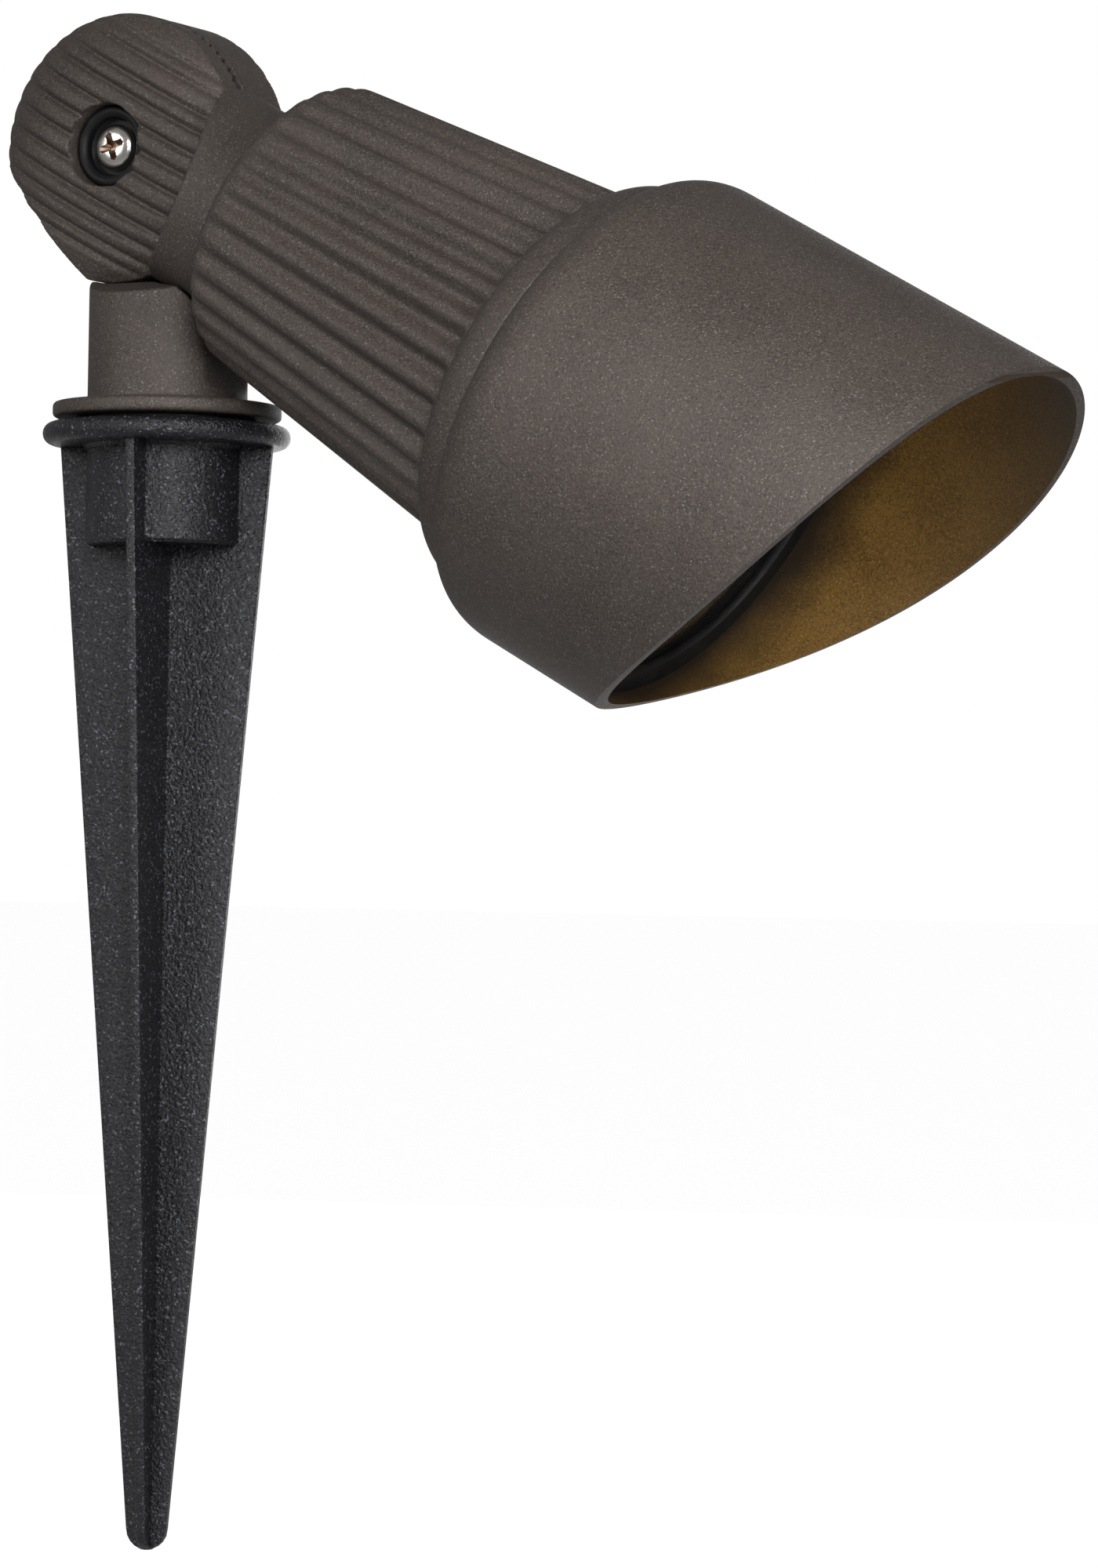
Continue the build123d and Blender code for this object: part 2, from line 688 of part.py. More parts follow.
def make_wire_grommet():
    """Silicone plug in the rear wall, with two holes for the leads."""
    plug = along(neck_bore_radius - grommet_clearance, barrel_start, cavity_start)
    plug += along(neck_bore_radius + grommet_lip, cavity_start, cavity_start + grommet_lip_length)
    lead = along(lead_radius + pin_hole_clearance, barrel_start, cavity_start + grommet_lip_length)
    for side in (-1, 1):
        plug -= Pos(0, 0, side * pin_pitch / 2) * lead
    return head * Pos(0, 0, neck_offset) * plug


nodes = {
    "ground_spike": make_ground_spike(),
    "stem_gasket": make_stem_gasket(),
    "stem": make_stem(),
    "stem_bush": make_stem_bush(),
    "knuckle_seal": make_knuckle_seal(),
    "knuckle_screw": make_knuckle_screw(),
    "screw_cup": make_screw_cup(),
    "lock_washer": make_lock_washer(),
    "knuckle_nut": make_knuckle_nut(),
    "head_housing": make_head_housing(),
    "hood": make_hood(),
    "hood_o_ring": make_hood_o_ring(),
    "lens": make_lens(),
    "lens_ring": make_lens_ring(),
    "baffle_ring": make_baffle_ring(),
    "lamp_reflector": make_lamp_reflector(),
    "lamp_glass": make_lamp_glass(),
    "lamp_capsule": make_lamp_capsule(),
    "lamp_base": make_lamp_base(),
    "lamp_pins": make_lamp_pins(),
    "lamp_socket": make_lamp_socket(),
    "socket_bracket": make_socket_bracket(),
    "bracket_screws": make_bracket_screws(),
    "lamp_leads": make_lamp_leads(),
    "wire_grommet": make_wire_grommet(),
}

os.makedirs("parts", exist_ok=True)
for name, shape in nodes.items():
    export_step(shape, f"parts/{name}.step")
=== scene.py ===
"""Dresses the landscape spotlight: castings, hood, lens, knuckle hardware and ground spike.

Lengths in the classes are millimetres in the part's own frame: the origin is on the spike's axis at
the ground line, +Z is up, the head points to +X and down, and the knuckle screw faces -Y.
"""

from __future__ import annotations

import json
import logging
import math
from dataclasses import dataclass
from enum import Enum
from typing import Any, Callable, Iterable, Sequence

import bmesh
import bpy
from mathutils import Matrix, Vector

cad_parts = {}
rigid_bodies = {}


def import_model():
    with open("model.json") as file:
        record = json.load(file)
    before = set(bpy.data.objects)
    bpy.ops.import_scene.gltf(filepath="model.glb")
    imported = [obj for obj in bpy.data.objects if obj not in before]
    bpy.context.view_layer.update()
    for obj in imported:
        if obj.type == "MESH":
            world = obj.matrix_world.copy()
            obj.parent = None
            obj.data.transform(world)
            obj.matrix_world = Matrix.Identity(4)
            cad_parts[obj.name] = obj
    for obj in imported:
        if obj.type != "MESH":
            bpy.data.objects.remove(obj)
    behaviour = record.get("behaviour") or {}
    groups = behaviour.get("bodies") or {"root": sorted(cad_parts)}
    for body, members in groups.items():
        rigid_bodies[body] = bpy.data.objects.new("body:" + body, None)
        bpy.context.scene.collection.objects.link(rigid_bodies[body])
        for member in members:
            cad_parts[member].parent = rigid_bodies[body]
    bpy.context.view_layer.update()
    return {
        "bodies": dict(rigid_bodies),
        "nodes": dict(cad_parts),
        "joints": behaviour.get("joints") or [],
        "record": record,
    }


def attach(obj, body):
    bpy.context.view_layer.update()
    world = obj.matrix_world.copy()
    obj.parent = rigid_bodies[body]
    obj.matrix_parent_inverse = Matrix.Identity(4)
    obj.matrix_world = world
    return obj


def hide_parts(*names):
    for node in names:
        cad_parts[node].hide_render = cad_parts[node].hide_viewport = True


log = logging.getLogger("spotlight")

Point = tuple[float, float]
Colour = tuple[float, float, float]
Place = Callable[[Vector], bool]
Piece = bpy.types.Object
Material = bpy.types.Material

MM = 0.001

# Edges sharper than these, in degrees, stay crisp.
TURNED_EDGE = 30.0
CAST_EDGE = 60.0
TOOTH_EDGE = 20.0


def rotation(angle: float, axis: str = "Z") -> Matrix:
    """Turn about an axis, in degrees."""
    return Matrix.Rotation(math.radians(angle), 4, axis)


def polar(point: Vector) -> Point:
    """Angle of a point about Z, in radians, and its distance from Z."""
    return math.atan2(point.y, point.x), math.hypot(point.x, point.y)


class Cut(Enum):
    """How one solid acts on another."""

    TAKE_AWAY = "DIFFERENCE"
    KEEP_COMMON = "INTERSECT"
    JOIN = "UNION"


@dataclass(frozen=True)
class Setting:
    """Where the stem's pivot and the head stand at rest."""

    pivot: tuple[float, float, float] = (-8.3, 0.0, 57.2)
    tilt: float = 28.5
    head_offset: float = 3.5
    neck_offset: float = 1.0
    hood_turned: float = 8.0

    def _frame(self, x: Vector, y: Vector, z: Vector, origin: Vector) -> Matrix:
        """Matrix that takes millimetres on three axes to metres in the part's frame."""
        turn = Matrix((x, y, z)).transposed().to_4x4()
        return Matrix.Translation(origin * MM) @ turn @ Matrix.Scale(MM, 4)

    def along(self) -> Vector:
        """Direction of the head."""
        angle = math.radians(self.tilt)
        return Vector((math.cos(angle), 0.0, -math.sin(angle)))

    def above(self) -> Vector:
        """Direction square to the head, upwards."""
        angle = math.radians(self.tilt)
        return Vector((math.sin(angle), 0.0, math.cos(angle)))

    def head(self, turned: float = 0.0) -> Matrix:
        """Frame of a piece turned about the head's axis, whose Z is the head's direction.

        Args:
            turned: turn about the head's axis in degrees.

        Returns:
            The matrix from the piece's millimetres to the part's frame.
        """
        origin = Vector(self.pivot) + self.above() * self.head_offset
        frame = self._frame(self.above(), Vector((0, -1, 0)), self.along(), origin)
        return frame @ rotation(turned)

    def knuckle(self) -> Matrix:
        """Frame of the head's knuckle half: X along the head, Z out of the screw's face."""
        return self._frame(self.along(), self.above(), Vector((0, -1, 0)), Vector(self.pivot))

    def stem_knuckle(self) -> Matrix:
        """Frame of the stem's knuckle half: Y up, Z out of its rear face."""
        x, y, z = Vector((-1, 0, 0)), Vector((0, 0, 1)), Vector((0, 1, 0))
        return self._frame(x, y, z, Vector(self.pivot))

    def upright(self) -> Matrix:
        """Frame of the spike and the stem's post."""
        return Matrix.Scale(MM, 4)


class Socket:
    """Wraps a shader socket so that values can be written as sums and products."""

    def __init__(self, graph: Nodes, link: bpy.types.NodeSocket) -> None:
        """Keeps the socket and the nodes that it belongs to."""
        self.graph = graph
        self.link = link

    def _maths(self, operation: str, first: Any, second: Any) -> Socket:
        """Adds one Math node for the two values."""
        return self.graph.add("ShaderNodeMath", {"operation": operation}, {0: first, 1: second})

    def __add__(self, other: Any) -> Socket:
        """Sum."""
        return self._maths("ADD", self, other)

    def __sub__(self, other: Any) -> Socket:
        """Difference."""
        return self._maths("SUBTRACT", self, other)

    def __rsub__(self, other: Any) -> Socket:
        """Difference from a number."""
        return self._maths("SUBTRACT", other, self)

    def __mul__(self, other: Any) -> Socket:
        """Product."""
        return self._maths("MULTIPLY", self, other)

    def __gt__(self, other: Any) -> Socket:
        """One where this is greater, and zero elsewhere."""
        return self._maths("GREATER_THAN", self, other)

    __radd__ = __add__
    __rmul__ = __mul__


class Nodes:
    """Node tree, whose nodes all come from one method."""

    def __init__(self, tree: bpy.types.NodeTree) -> None:
        """Keeps the tree."""
        self.tree = tree

    def add(
        self, kind: str, settings: dict[str, Any], inputs: dict[Any, Any], output: Any = 0
    ) -> Socket:
        """Adds a node.

        Args:
            kind: the node's type.
            settings: properties to set first.
            inputs: values, or sockets to link, by the input's name or number.
            output: name or number of the output to return.

        Returns:
            The wrapped output.
        """
        node = self.tree.nodes.new(kind)
        for key, value in settings.items():
            setattr(node, key, value)
        for key, value in inputs.items():
            self.feed(node.inputs[key], value)
        return Socket(self, node.outputs[output])

    def feed(self, target: bpy.types.NodeSocket, value: Any) -> None:
        """Links a socket, or sets its value.

        Args:
            target: the input to feed.
            value: another socket, a number, a vector or a colour.
        """
        if isinstance(value, Socket):
            self.tree.links.new(value.link, target)
        elif isinstance(value, tuple) and len(value) == 3 and target.type == "RGBA":
            target.default_value = (*value, 1.0)
        else:
            target.default_value = value


class Graph(Nodes):
    """Nodes of one material, whose textures lie on the object's own coordinates."""

    def __init__(self, name: str) -> None:
        """Starts a material with a Principled shader.

        Args:
            name: the material's name.
        """
        self.material = bpy.data.materials.new(name)
        self.material.use_nodes = True
        super().__init__(self.material.node_tree)
        self.shader = self.tree.nodes["Principled BSDF"]
        self.place = self.add("ShaderNodeTexCoord", {}, {}, "Object")

    def shade(self, **inputs: Any) -> Material:
        """Feeds the Principled shader.

        Args:
            inputs: values by the inputs' names, with spaces written as underscores.

        Returns:
            The material.
        """
        for key, value in inputs.items():
            self.feed(self.shader.inputs[key.replace("_", " ")], value)
        return self.material

    def _scaled(self, size: float) -> dict[str, Any]:
        """Inputs of a texture whose features have a size in millimetres."""
        return {"Vector": self.place, "Scale": 1 / (size * MM)}

    def noise(self, size: float, detail: float = 2.0, roughness: float = 0.5) -> Socket:
        """Soft noise whose features are about the size given, in millimetres."""
        fineness = {"Detail": detail, "Roughness": roughness}
        return self.add("ShaderNodeTexNoise", {}, self._scaled(size) | fineness, "Fac")

    def cells(self, size: float) -> Socket:
        """Random value for each of many small cells of the size given, in millimetres."""
        colour = self.add("ShaderNodeTexVoronoi", {}, self._scaled(size), "Color")
        return self.add("ShaderNodeSeparateColor", {}, {0: colour}, 0)

    def spread(
        self, value: Socket, low: float, high: float, to_low: float, to_high: float
    ) -> Socket:
        """Maps a range of a value on to another, clamped."""
        inputs = {0: value, 1: low, 2: high, 3: to_low, 4: to_high}
        return self.add("ShaderNodeMapRange", {"clamp": True}, inputs)

    def mix(self, share: Any, first: Any, second: Any) -> Socket:
        """Mixes two colours by a share."""
        inputs = {0: share, 6: first, 7: second}
        return self.add("ShaderNodeMix", {"data_type": "RGBA"}, inputs, 2)

    def bump(self, height: Socket, depth: float) -> Socket:
        """Normal from a height, with the depth in millimetres."""
        inputs = {"Height": height, "Distance": depth * MM, "Strength": 1.0}
        return self.add("ShaderNodeBump", {}, inputs)


@dataclass(frozen=True)
class GrainedCoat:
    """Fine-textured coat: soft grain, small bright flecks, which on the black spike are painted
    glints, and slight wear in tone.
    """

    name: str
    deep: Colour
    pale: Colour
    fleck_and_glint: Colour
    metallic: float
    roughness: float
    grain: float = 0.42
    depth: float = 0.1
    pit: float = 1.1
    fleck_and_glint_size: float = 0.24
    fleck_and_glint_share: float = 0.04
    fleck_and_glint_strength: float = 0.6
    fleck_gloss: float = 0.12
    cloud_size: float = 14.0
    wear: float = 0.18

    def recoloured(self, graph: Graph, colour: Socket, cloud: Socket) -> Socket:
        """Colour of the coat where its tone changes from place to place."""
        shade = graph.spread(cloud, 0.35, 0.7, 0.0, self.wear)
        return graph.mix(shade, colour, self.deep)

    def material(self) -> Material:
        """Builds the coat's material.

        Returns:
            The material.
        """
        graph = Graph(self.name)
        cloud = graph.noise(self.cloud_size, 3.0)
        grain = graph.noise(self.grain, 3.0, 0.6)
        tone = graph.spread(grain * 0.75 + cloud * 0.25, 0.34, 0.66, 0.0, 1.0)
        # Bright flecks: metal flakes in the bronze and golden coats, painted glints on the black
        # spike.
        fleck_and_glint_mask = graph.cells(self.fleck_and_glint_size) > 1 - self.fleck_and_glint_share
        plain = graph.mix(tone, self.deep, self.pale)
        with_flecks_and_glints = graph.mix(fleck_and_glint_mask * self.fleck_and_glint_strength, plain, self.fleck_and_glint)
        colour = self.recoloured(graph, with_flecks_and_glints, cloud)
        pits = graph.noise(self.pit, 2.0)
        height = grain * 0.7 + pits * 0.3
        rough = graph.spread(grain, 0.3, 0.7, self.roughness - 0.06, self.roughness + 0.08)
        normal = graph.bump(height, self.depth)
        rough = rough - fleck_and_glint_mask * self.fleck_gloss
        return graph.shade(
            Base_Color=colour, Metallic=self.metallic, Roughness=rough, Normal=normal
        )


@dataclass(frozen=True)
class FadingCoat(GrainedCoat):
    """Grained coat that darkens along a direction: painted shade at its root, and bronze overspray
    with painted shade at its tip.
    """

    axis: tuple[float, float, float] = (1.0, 0.0, 0.0)
    root: Point = (0.0, 0.0)
    tip: Point = (1.0, 1.0)
    edge: Colour = (0.0, 0.0, 0.0)
    root_shade: float = 0.95
    tip_overspray_and_shade: float = 0.92
    waver: float = 0.006

    def recoloured(self, graph: Graph, colour: Socket, cloud: Socket) -> Socket:
        """Colour of the coat, darkened towards its two ends: painted shade at its root by the lens,
        and bronze overspray with painted shade at its tip by the lip.

        Args:
            graph: the material's nodes.
            colour: the coat's full colour.
            cloud: noise that makes the fading uneven.

        Returns:
            The faded colour.
        """
        dot = {"operation": "DOT_PRODUCT"}
        place = graph.add("ShaderNodeVectorMath", dot, {0: graph.place, 1: self.axis}, 1)
        place = place + (cloud - 0.5) * self.waver
        # Painted shade: the coat darkens into the corner by the lens.
        colour = graph.mix(graph.spread(place, *self.root, self.root_shade, 0.0), colour, self.edge)
        # Bronze overspray and painted shade: the coat darkens towards the lip.
        return graph.mix(graph.spread(place, *self.tip, 0.0, self.tip_overspray_and_shade), colour, self.edge)


@dataclass(frozen=True)
class PlainRubber:
    """Dark rubber or silicone with a dusty bloom and moulding grain."""

    name: str
    colour: Colour
    roughness: float = 0.55
    bloom: float = 0.35
    bloom_size: float = 5.0
    grain: float = 0.35
    depth: float = 0.06

    def material(self) -> Material:
        """Builds the rubber's material.

        Returns:
            The material.
        """
        graph = Graph(self.name)
        bloom = graph.spread(graph.noise(self.bloom_size, 4.0), 0.4, 0.75, 0.0, self.bloom)
        pale = tuple(min(1.0, channel * 2.2 + 0.01) for channel in self.colour)
        grain = graph.noise(self.grain, 2.0)
        colour = graph.mix(bloom, self.colour, pale)
        rough = graph.spread(bloom, 0.0, self.bloom, self.roughness - 0.1, self.roughness + 0.15)
        normal = graph.bump(grain, self.depth)
        return graph.shade(
            Base_Color=colour, Roughness=rough, Normal=normal, Specular_IOR_Level=0.28
        )


@dataclass(frozen=True)
class BareMetal:
    """Plated or drawn metal with fine scratches and uneven sheen."""

    name: str
    colour: Colour
    stain: Colour
    roughness: float = 0.2
    cloud_size: float = 1.6
    scratch_size: float = 0.12
    depth: float = 0.01

    def material(self) -> Material:
        """Builds the metal's material.

        Returns:
            The material.
        """
        graph = Graph(self.name)
        cloud = graph.noise(self.cloud_size, 4.0, 0.6)
        scratch = graph.noise(self.scratch_size, 1.0)
        colour = graph.mix(graph.spread(cloud, 0.5, 0.8, 0.0, 0.6), self.colour, self.stain)
        sheen = cloud * 0.6 + scratch * 0.4
        rough = graph.spread(sheen, 0.3, 0.7, self.roughness * 0.6, self.roughness * 1.7)
        normal = graph.bump(scratch, self.depth)
        return graph.shade(Base_Color=colour, Metallic=1.0, Roughness=rough, Normal=normal)


@dataclass(frozen=True)
class FiredCeramic:
    """Unglazed pale ceramic with fine pores."""

    name: str
    colour: Colour
    pore: float = 0.5
    depth: float = 0.08

    def material(self) -> Material:
        """Builds the ceramic's material.

        Returns:
            The material.
        """
        graph = Graph(self.name)
        pores = graph.noise(self.pore, 4.0, 0.7)
        dark = tuple(channel * 0.78 for channel in self.colour)
        colour = graph.mix(graph.spread(pores, 0.35, 0.65, 0.0, 1.0), dark, self.colour)
        rough = graph.spread(pores, 0.3, 0.7, 0.6, 0.85)
        return graph.shade(Base_Color=colour, Roughness=rough, Normal=graph.bump(pores, self.depth))


@dataclass(frozen=True)
class ClearGlass:
    """Clear glass with a faint tint and a film of dust that varies its gloss."""

    name: str
    tint: Colour
    dust: float = 0.04
    haze: Colour = (0.8, 0.8, 0.78)
    film_size: float = 9.0

    def material(self) -> Material:
        """Builds the glass's material.

        Returns:
            The material.
        """
        graph = Graph(self.name)
        film = graph.noise(self.film_size, 5.0, 0.6)
        rough = graph.spread(film, 0.35, 0.75, 0.01, self.dust)
        colour = graph.mix(graph.spread(film, 0.4, 0.8, 0.0, 0.15), self.tint, self.haze)
        return graph.shade(Base_Color=colour, Roughness=rough, IOR=1.5, Transmission_Weight=1.0)


def tones(deep: Colour, pale: Colour, fleck_and_glint: Colour) -> dict[str, Any]:
    """The three colours of a grained coat."""
    return {"deep": deep, "pale": pale, "fleck_and_glint": fleck_and_glint}


class Finishes:
    """All the finishes of the light, each built once."""

    def __init__(self, setting: Setting) -> None:
        """Builds the materials.

        Args:
            setting: where the head points, along which the golden coat fades.
        """
        bronze = tones((0.04, 0.0315, 0.0265), (0.11, 0.089, 0.0765), (0.22, 0.2, 0.18))
        bronze |= {"metallic": 0.25, "roughness": 0.52, "depth": 0.23}
        self.bronze = GrainedCoat("bronze_coat", **bronze).material()
        gold = tones((0.13, 0.068, 0.014), (0.42, 0.232, 0.054), (0.56, 0.36, 0.13))
        gold |= {"metallic": 0.4, "roughness": 0.5, "fleck_and_glint_share": 0.025}
        gold |= {"axis": tuple(setting.along()), "root": (0.109, 0.12), "tip": (0.12, 0.156)}
        # The edge colour darkens the golden coat by the lens as painted shade, and by the lip as
        # bronze overspray with painted shade.
        self.gold = FadingCoat("golden_coat", edge=(0.032, 0.022, 0.014), **gold).material()
        # The spike's bright bluish flecks are painted glints.
        black = tones((0.0028, 0.0028, 0.0042), (0.0145, 0.0145, 0.0195), (0.19, 0.2, 0.24))
        black |= {"metallic": 0.0, "roughness": 0.25, "grain": 0.62, "depth": 0.55, "pit": 0.9}
        black |= {"fleck_and_glint_size": 0.34, "fleck_and_glint_share": 0.045}
        self.spike = GrainedCoat("spike_plastic", **black).material()
        dull = tones((0.012, 0.012, 0.012), (0.03, 0.03, 0.03), (0.06, 0.06, 0.06))
        self.baffle = GrainedCoat("baffle_coat", metallic=0.1, roughness=0.6, **dull).material()
        self.rubber = PlainRubber("black_rubber", (0.0045, 0.0046, 0.005), 0.6).material()
        self.silicone = PlainRubber("grommet_silicone", (0.2, 0.03, 0.02)).material()
        self.sleeve = PlainRubber("lead_sleeve", (0.5, 0.46, 0.4), 0.75).material()
        bright, bright_stain = (0.86, 0.83, 0.79), (0.62, 0.5, 0.4)
        self.nickel = BareMetal("bright_nickel", bright, bright_stain, 0.16).material()
        # The darker brown nickel inside the screw's cross is painted shade.
        shaded, shaded_stain = (0.36, 0.27, 0.2), (0.16, 0.11, 0.08)
        self.dark_nickel = BareMetal("shaded_nickel", shaded, shaded_stain, 0.3).material()
        plate, plate_stain = (0.56, 0.56, 0.57), (0.4, 0.39, 0.36)
        self.zinc = BareMetal("zinc_plate", plate, plate_stain, 0.34).material()
        silver, silver_stain = (0.9, 0.9, 0.92), (0.72, 0.7, 0.82)
        self.mirror = BareMetal("reflector_coat", silver, silver_stain, 0.1).material()
        self.ceramic = FiredCeramic("fired_ceramic", (0.76, 0.72, 0.64)).material()
        self.glass = ClearGlass("lens_glass", (0.93, 0.97, 0.95)).material()
        self.lamp_glass = ClearGlass("lamp_glass", (0.97, 0.98, 0.98), 0.02).material()


class Bench:
    """Modelling steps on one mesh object after another."""

    AXIS_RADIUS = 1e-3
    WELD = 0.004

    @staticmethod
    def clear() -> None:
        """Leaves edit mode and deselects everything."""
        if bpy.context.object and bpy.context.object.mode != "OBJECT":
            bpy.ops.object.mode_set(mode="OBJECT")
        bpy.ops.object.select_all(action="DESELECT")

    @staticmethod
    def take(piece: Piece) -> None:
        """Makes one piece the only selected and active one.

        Args:
            piece: the piece.
        """
        Bench.clear()
        piece.select_set(True)
        bpy.context.view_layer.objects.active = piece

    @staticmethod
    def edit(piece: Piece) -> None:
        """Opens a piece in edit mode with all of it selected.

        Args:
            piece: the piece.
        """
        Bench.take(piece)
        bpy.ops.object.mode_set(mode="EDIT")
        bpy.ops.mesh.select_mode(type="VERT")
        bpy.ops.mesh.select_all(action="SELECT")

    @staticmethod
    def settle(name: str) -> Piece:
        """Names the primitive that was just added and applies its place, turn and scale.

        Args:
            name: the piece's name.

        Returns:
            The new piece.
        """
        piece = bpy.context.object
        piece.name = name
        bpy.ops.object.transform_apply(location=True, rotation=True, scale=True)
        return piece

    @staticmethod
    def pick(piece: Piece, where: Place) -> None:
        """Selects the points of an edited piece that a test accepts.

        Args:
            piece: the piece, in edit mode.
            where: test of a point's place.
        """
        mesh = bmesh.from_edit_mesh(piece.data)
        for point in mesh.verts:
            point.select = where(point.co)
        mesh.select_flush(True)
        mesh.select_flush(False)
        bmesh.update_edit_mesh(piece.data)

    @staticmethod
    def stretch(x: float, y: float, height: float) -> None:
        """Stretches what is selected across Z, about the axis at a height."""
        bpy.ops.transform.resize(value=(x, y, 1), center_override=(0, 0, height))

    @staticmethod
    def lathe(name: str, profile: Sequence[Point], columns: int) -> Piece:
        """Turns a profile about Z by drawing a circle out, ring after ring.

        Args:
            name: the piece's name.
            profile: heights and radii, in order; a closed profile ends where it starts.
            columns: number of columns round the axis.

        Returns:
            The new piece, closed and with its faces outwards.
        """
        Bench.clear()
        rings = [(height, max(radius, Bench.AXIS_RADIUS)) for height, radius in profile]
        height, radius = rings[0]
        bpy.ops.mesh.primitive_circle_add(vertices=columns, radius=radius, location=(0, 0, height))
        piece = Bench.settle(name)
        Bench.edit(piece)
        for next_height, next_radius in rings[1:]:
            step = {"value": (0, 0, next_height - height)}
            bpy.ops.mesh.extrude_region_move(TRANSFORM_OT_translate=step)
            share = next_radius / radius
            Bench.stretch(share, share, next_height)
            height, radius = next_height, next_radius
        bpy.ops.mesh.select_all(action="SELECT")
        bpy.ops.mesh.remove_doubles(threshold=Bench.WELD)
        bpy.ops.mesh.normals_make_consistent(inside=False)
        Bench.clear()
        return piece

    @staticmethod
    def rod(name: str, radius: float, low: Vector, high: Vector, columns: int) -> Piece:
        """Adds a round rod between two points.

        Args:
            name: the piece's name.
            radius: the rod's radius.
            low: centre of one end.
            high: centre of the other end.
            columns: number of columns round the rod.

        Returns:
            The new piece.
        """
        Bench.clear()
        run = high - low
        where = {"location": (low + high) / 2, "rotation": run.to_track_quat("Z", "Y").to_euler()}
        size = {"radius": radius, "depth": run.length}
        bpy.ops.mesh.primitive_cylinder_add(vertices=columns, **size, **where)
        return Bench.settle(name)

    @staticmethod
    def pin(name: str, radius: float, low: float, high: float, columns: int) -> Piece:
        """Adds a round rod along Z between two heights."""
        return Bench.rod(name, radius, Vector((0, 0, low)), Vector((0, 0, high)), columns)

    @staticmethod
    def block(name: str, low: Sequence[float], high: Sequence[float]) -> Piece:
        """Adds a block between two corners.

        Args:
            name: the piece's name.
            low: the corner with the lower values.
            high: the corner with the higher values.

        Returns:
            The new piece.
        """
        Bench.clear()
        centre = [(a + b) / 2 for a, b in zip(low, high)]
        sides = [b - a for a, b in zip(low, high)]
        bpy.ops.mesh.primitive_cube_add(size=1, location=centre, scale=sides)
        return Bench.settle(name)

    @staticmethod
    def modify(piece: Piece, kind: str, **settings: Any) -> None:
        """Adds a modifier with its settings and applies it.

        Args:
            piece: the piece to change.
            kind: the modifier's type.
            settings: its properties.
        """
        Bench.take(piece)
        step = piece.modifiers.new(kind.lower(), kind)
        for key, value in settings.items():
            setattr(step, key, value)
        bpy.ops.object.modifier_apply(modifier=step.name)

    @staticmethod
    def combine(piece: Piece, other: Piece, cut: Cut) -> None:
        """Cuts, joins or intersects a piece with another, which is then deleted."""
        Bench.modify(piece, "BOOLEAN", operation=cut.value, object=other, solver="EXACT")
        bpy.data.objects.remove(other, do_unlink=True)

    @staticmethod
    def cut(piece: Piece, *tools: Piece) -> None:
        """Takes one tool after another out of a piece."""
        for tool in tools:
            Bench.combine(piece, tool, Cut.TAKE_AWAY)

    @staticmethod
    def ease(piece: Piece, width: float, segments: int, angle: float) -> None:
        """Rounds the edges that are sharper than an angle in degrees."""
        sharp = {"limit_method": "ANGLE", "angle_limit": math.radians(angle)}
        Bench.modify(piece, "BEVEL", width=width, segments=segments, **sharp)

    @staticmethod
    def gather(name: str, pieces: Sequence[Piece]) -> Piece:
        """Joins pieces into the first one, each keeping its own shell.

        Args:
            name: name of the result.
            pieces: the pieces to join.

        Returns:
            The joined piece.
        """
        Bench.take(pieces[0])
        for piece in pieces[1:]:
            piece.select_set(True)
        if len(pieces) > 1:
            bpy.ops.object.join()
        pieces[0].name = name
        return pieces[0]

    @staticmethod
    def copies(piece: Piece, turns: Iterable[Matrix]) -> list[Piece]:
        """Copies a piece once for each matrix, each copy with its own mesh.

        Args:
            piece: the piece.
            turns: the matrices.

        Returns:
            The copies.
        """
        made = []
        for turn in turns:
            copy = piece.copy()
            copy.data = piece.data.copy()
            copy.data.transform(turn)
            bpy.context.collection.objects.link(copy)
            made.append(copy)
        return made

    @staticmethod
    def soften(piece: Piece, voxel: float, passes: int) -> None:
        """Melts a rough solid into one skin with the soft edges of a casting.

        Args:
            piece: the piece to change.
            voxel: size of the remesh's cells.
            passes: number of smoothing passes.
        """
        Bench.modify(piece, "REMESH", mode="VOXEL", voxel_size=voxel, adaptivity=0.0)
        Bench.modify(piece, "SMOOTH", factor=0.5, iterations=passes)

    @staticmethod
    def finish(
        piece: Piece, frame: Matrix, angle: float, *finishes: Material
    ) -> None:
        """Places a piece in the part's frame, smooths its shading and gives it its finishes.

        Args:
            piece: the piece.
            frame: matrix from its millimetres to the part's frame.
            angle: edges sharper than this, in degrees, stay crisp.
            finishes: its materials, in the order of its slots.
        """
        Bench.take(piece)
        piece.data.transform(frame)
        if frame.determinant() < 0:
            piece.data.flip_normals()
        piece.data.materials.clear()
        for material in finishes:
            piece.data.materials.append(material)
        bpy.ops.object.shade_smooth_by_angle(angle=math.radians(angle))
        bpy.ops.object.select_all(action="DESELECT")


def report(piece: Piece, body: str, slot: str, *nodes: str) -> None:
    """Ties a finished piece to its body and hides the solids that it stands for.

    Args:
        piece: the finished piece.
        body: the body that it moves with.
        slot: the record's material slot; not used.
        nodes: the solids that it replaces.
    """
    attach(piece, body)
    if nodes:
        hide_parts(*nodes)
    log.info("%s on %s: %d faces", piece.name, body, len(piece.data.polygons))


def quarter(start: Point, end: Point, steps: int, first_up: bool) -> list[Point]:
    """Points of a quarter ellipse between two points of a profile.

    Args:
        start: first point, as height and radius.
        end: last point.
        steps: number of steps.
        first_up: true where the curve leaves the start along the radius.

    Returns:
        The points after the start, up to and with the end.
    """
    points = []
    for i in range(1, steps + 1):
        angle = math.pi / 2 * i / steps
        slow, fast = 1 - math.cos(angle), math.sin(angle)
        along, out = (slow, fast) if first_up else (fast, slow)
        height = start[0] + (end[0] - start[0]) * along
        points.append((height, start[1] + (end[1] - start[1]) * out))
    return points


@dataclass
class Maker:
    """Builds pieces of the light in its setting, with its finishes."""

    setting: Setting
    finishes: Finishes


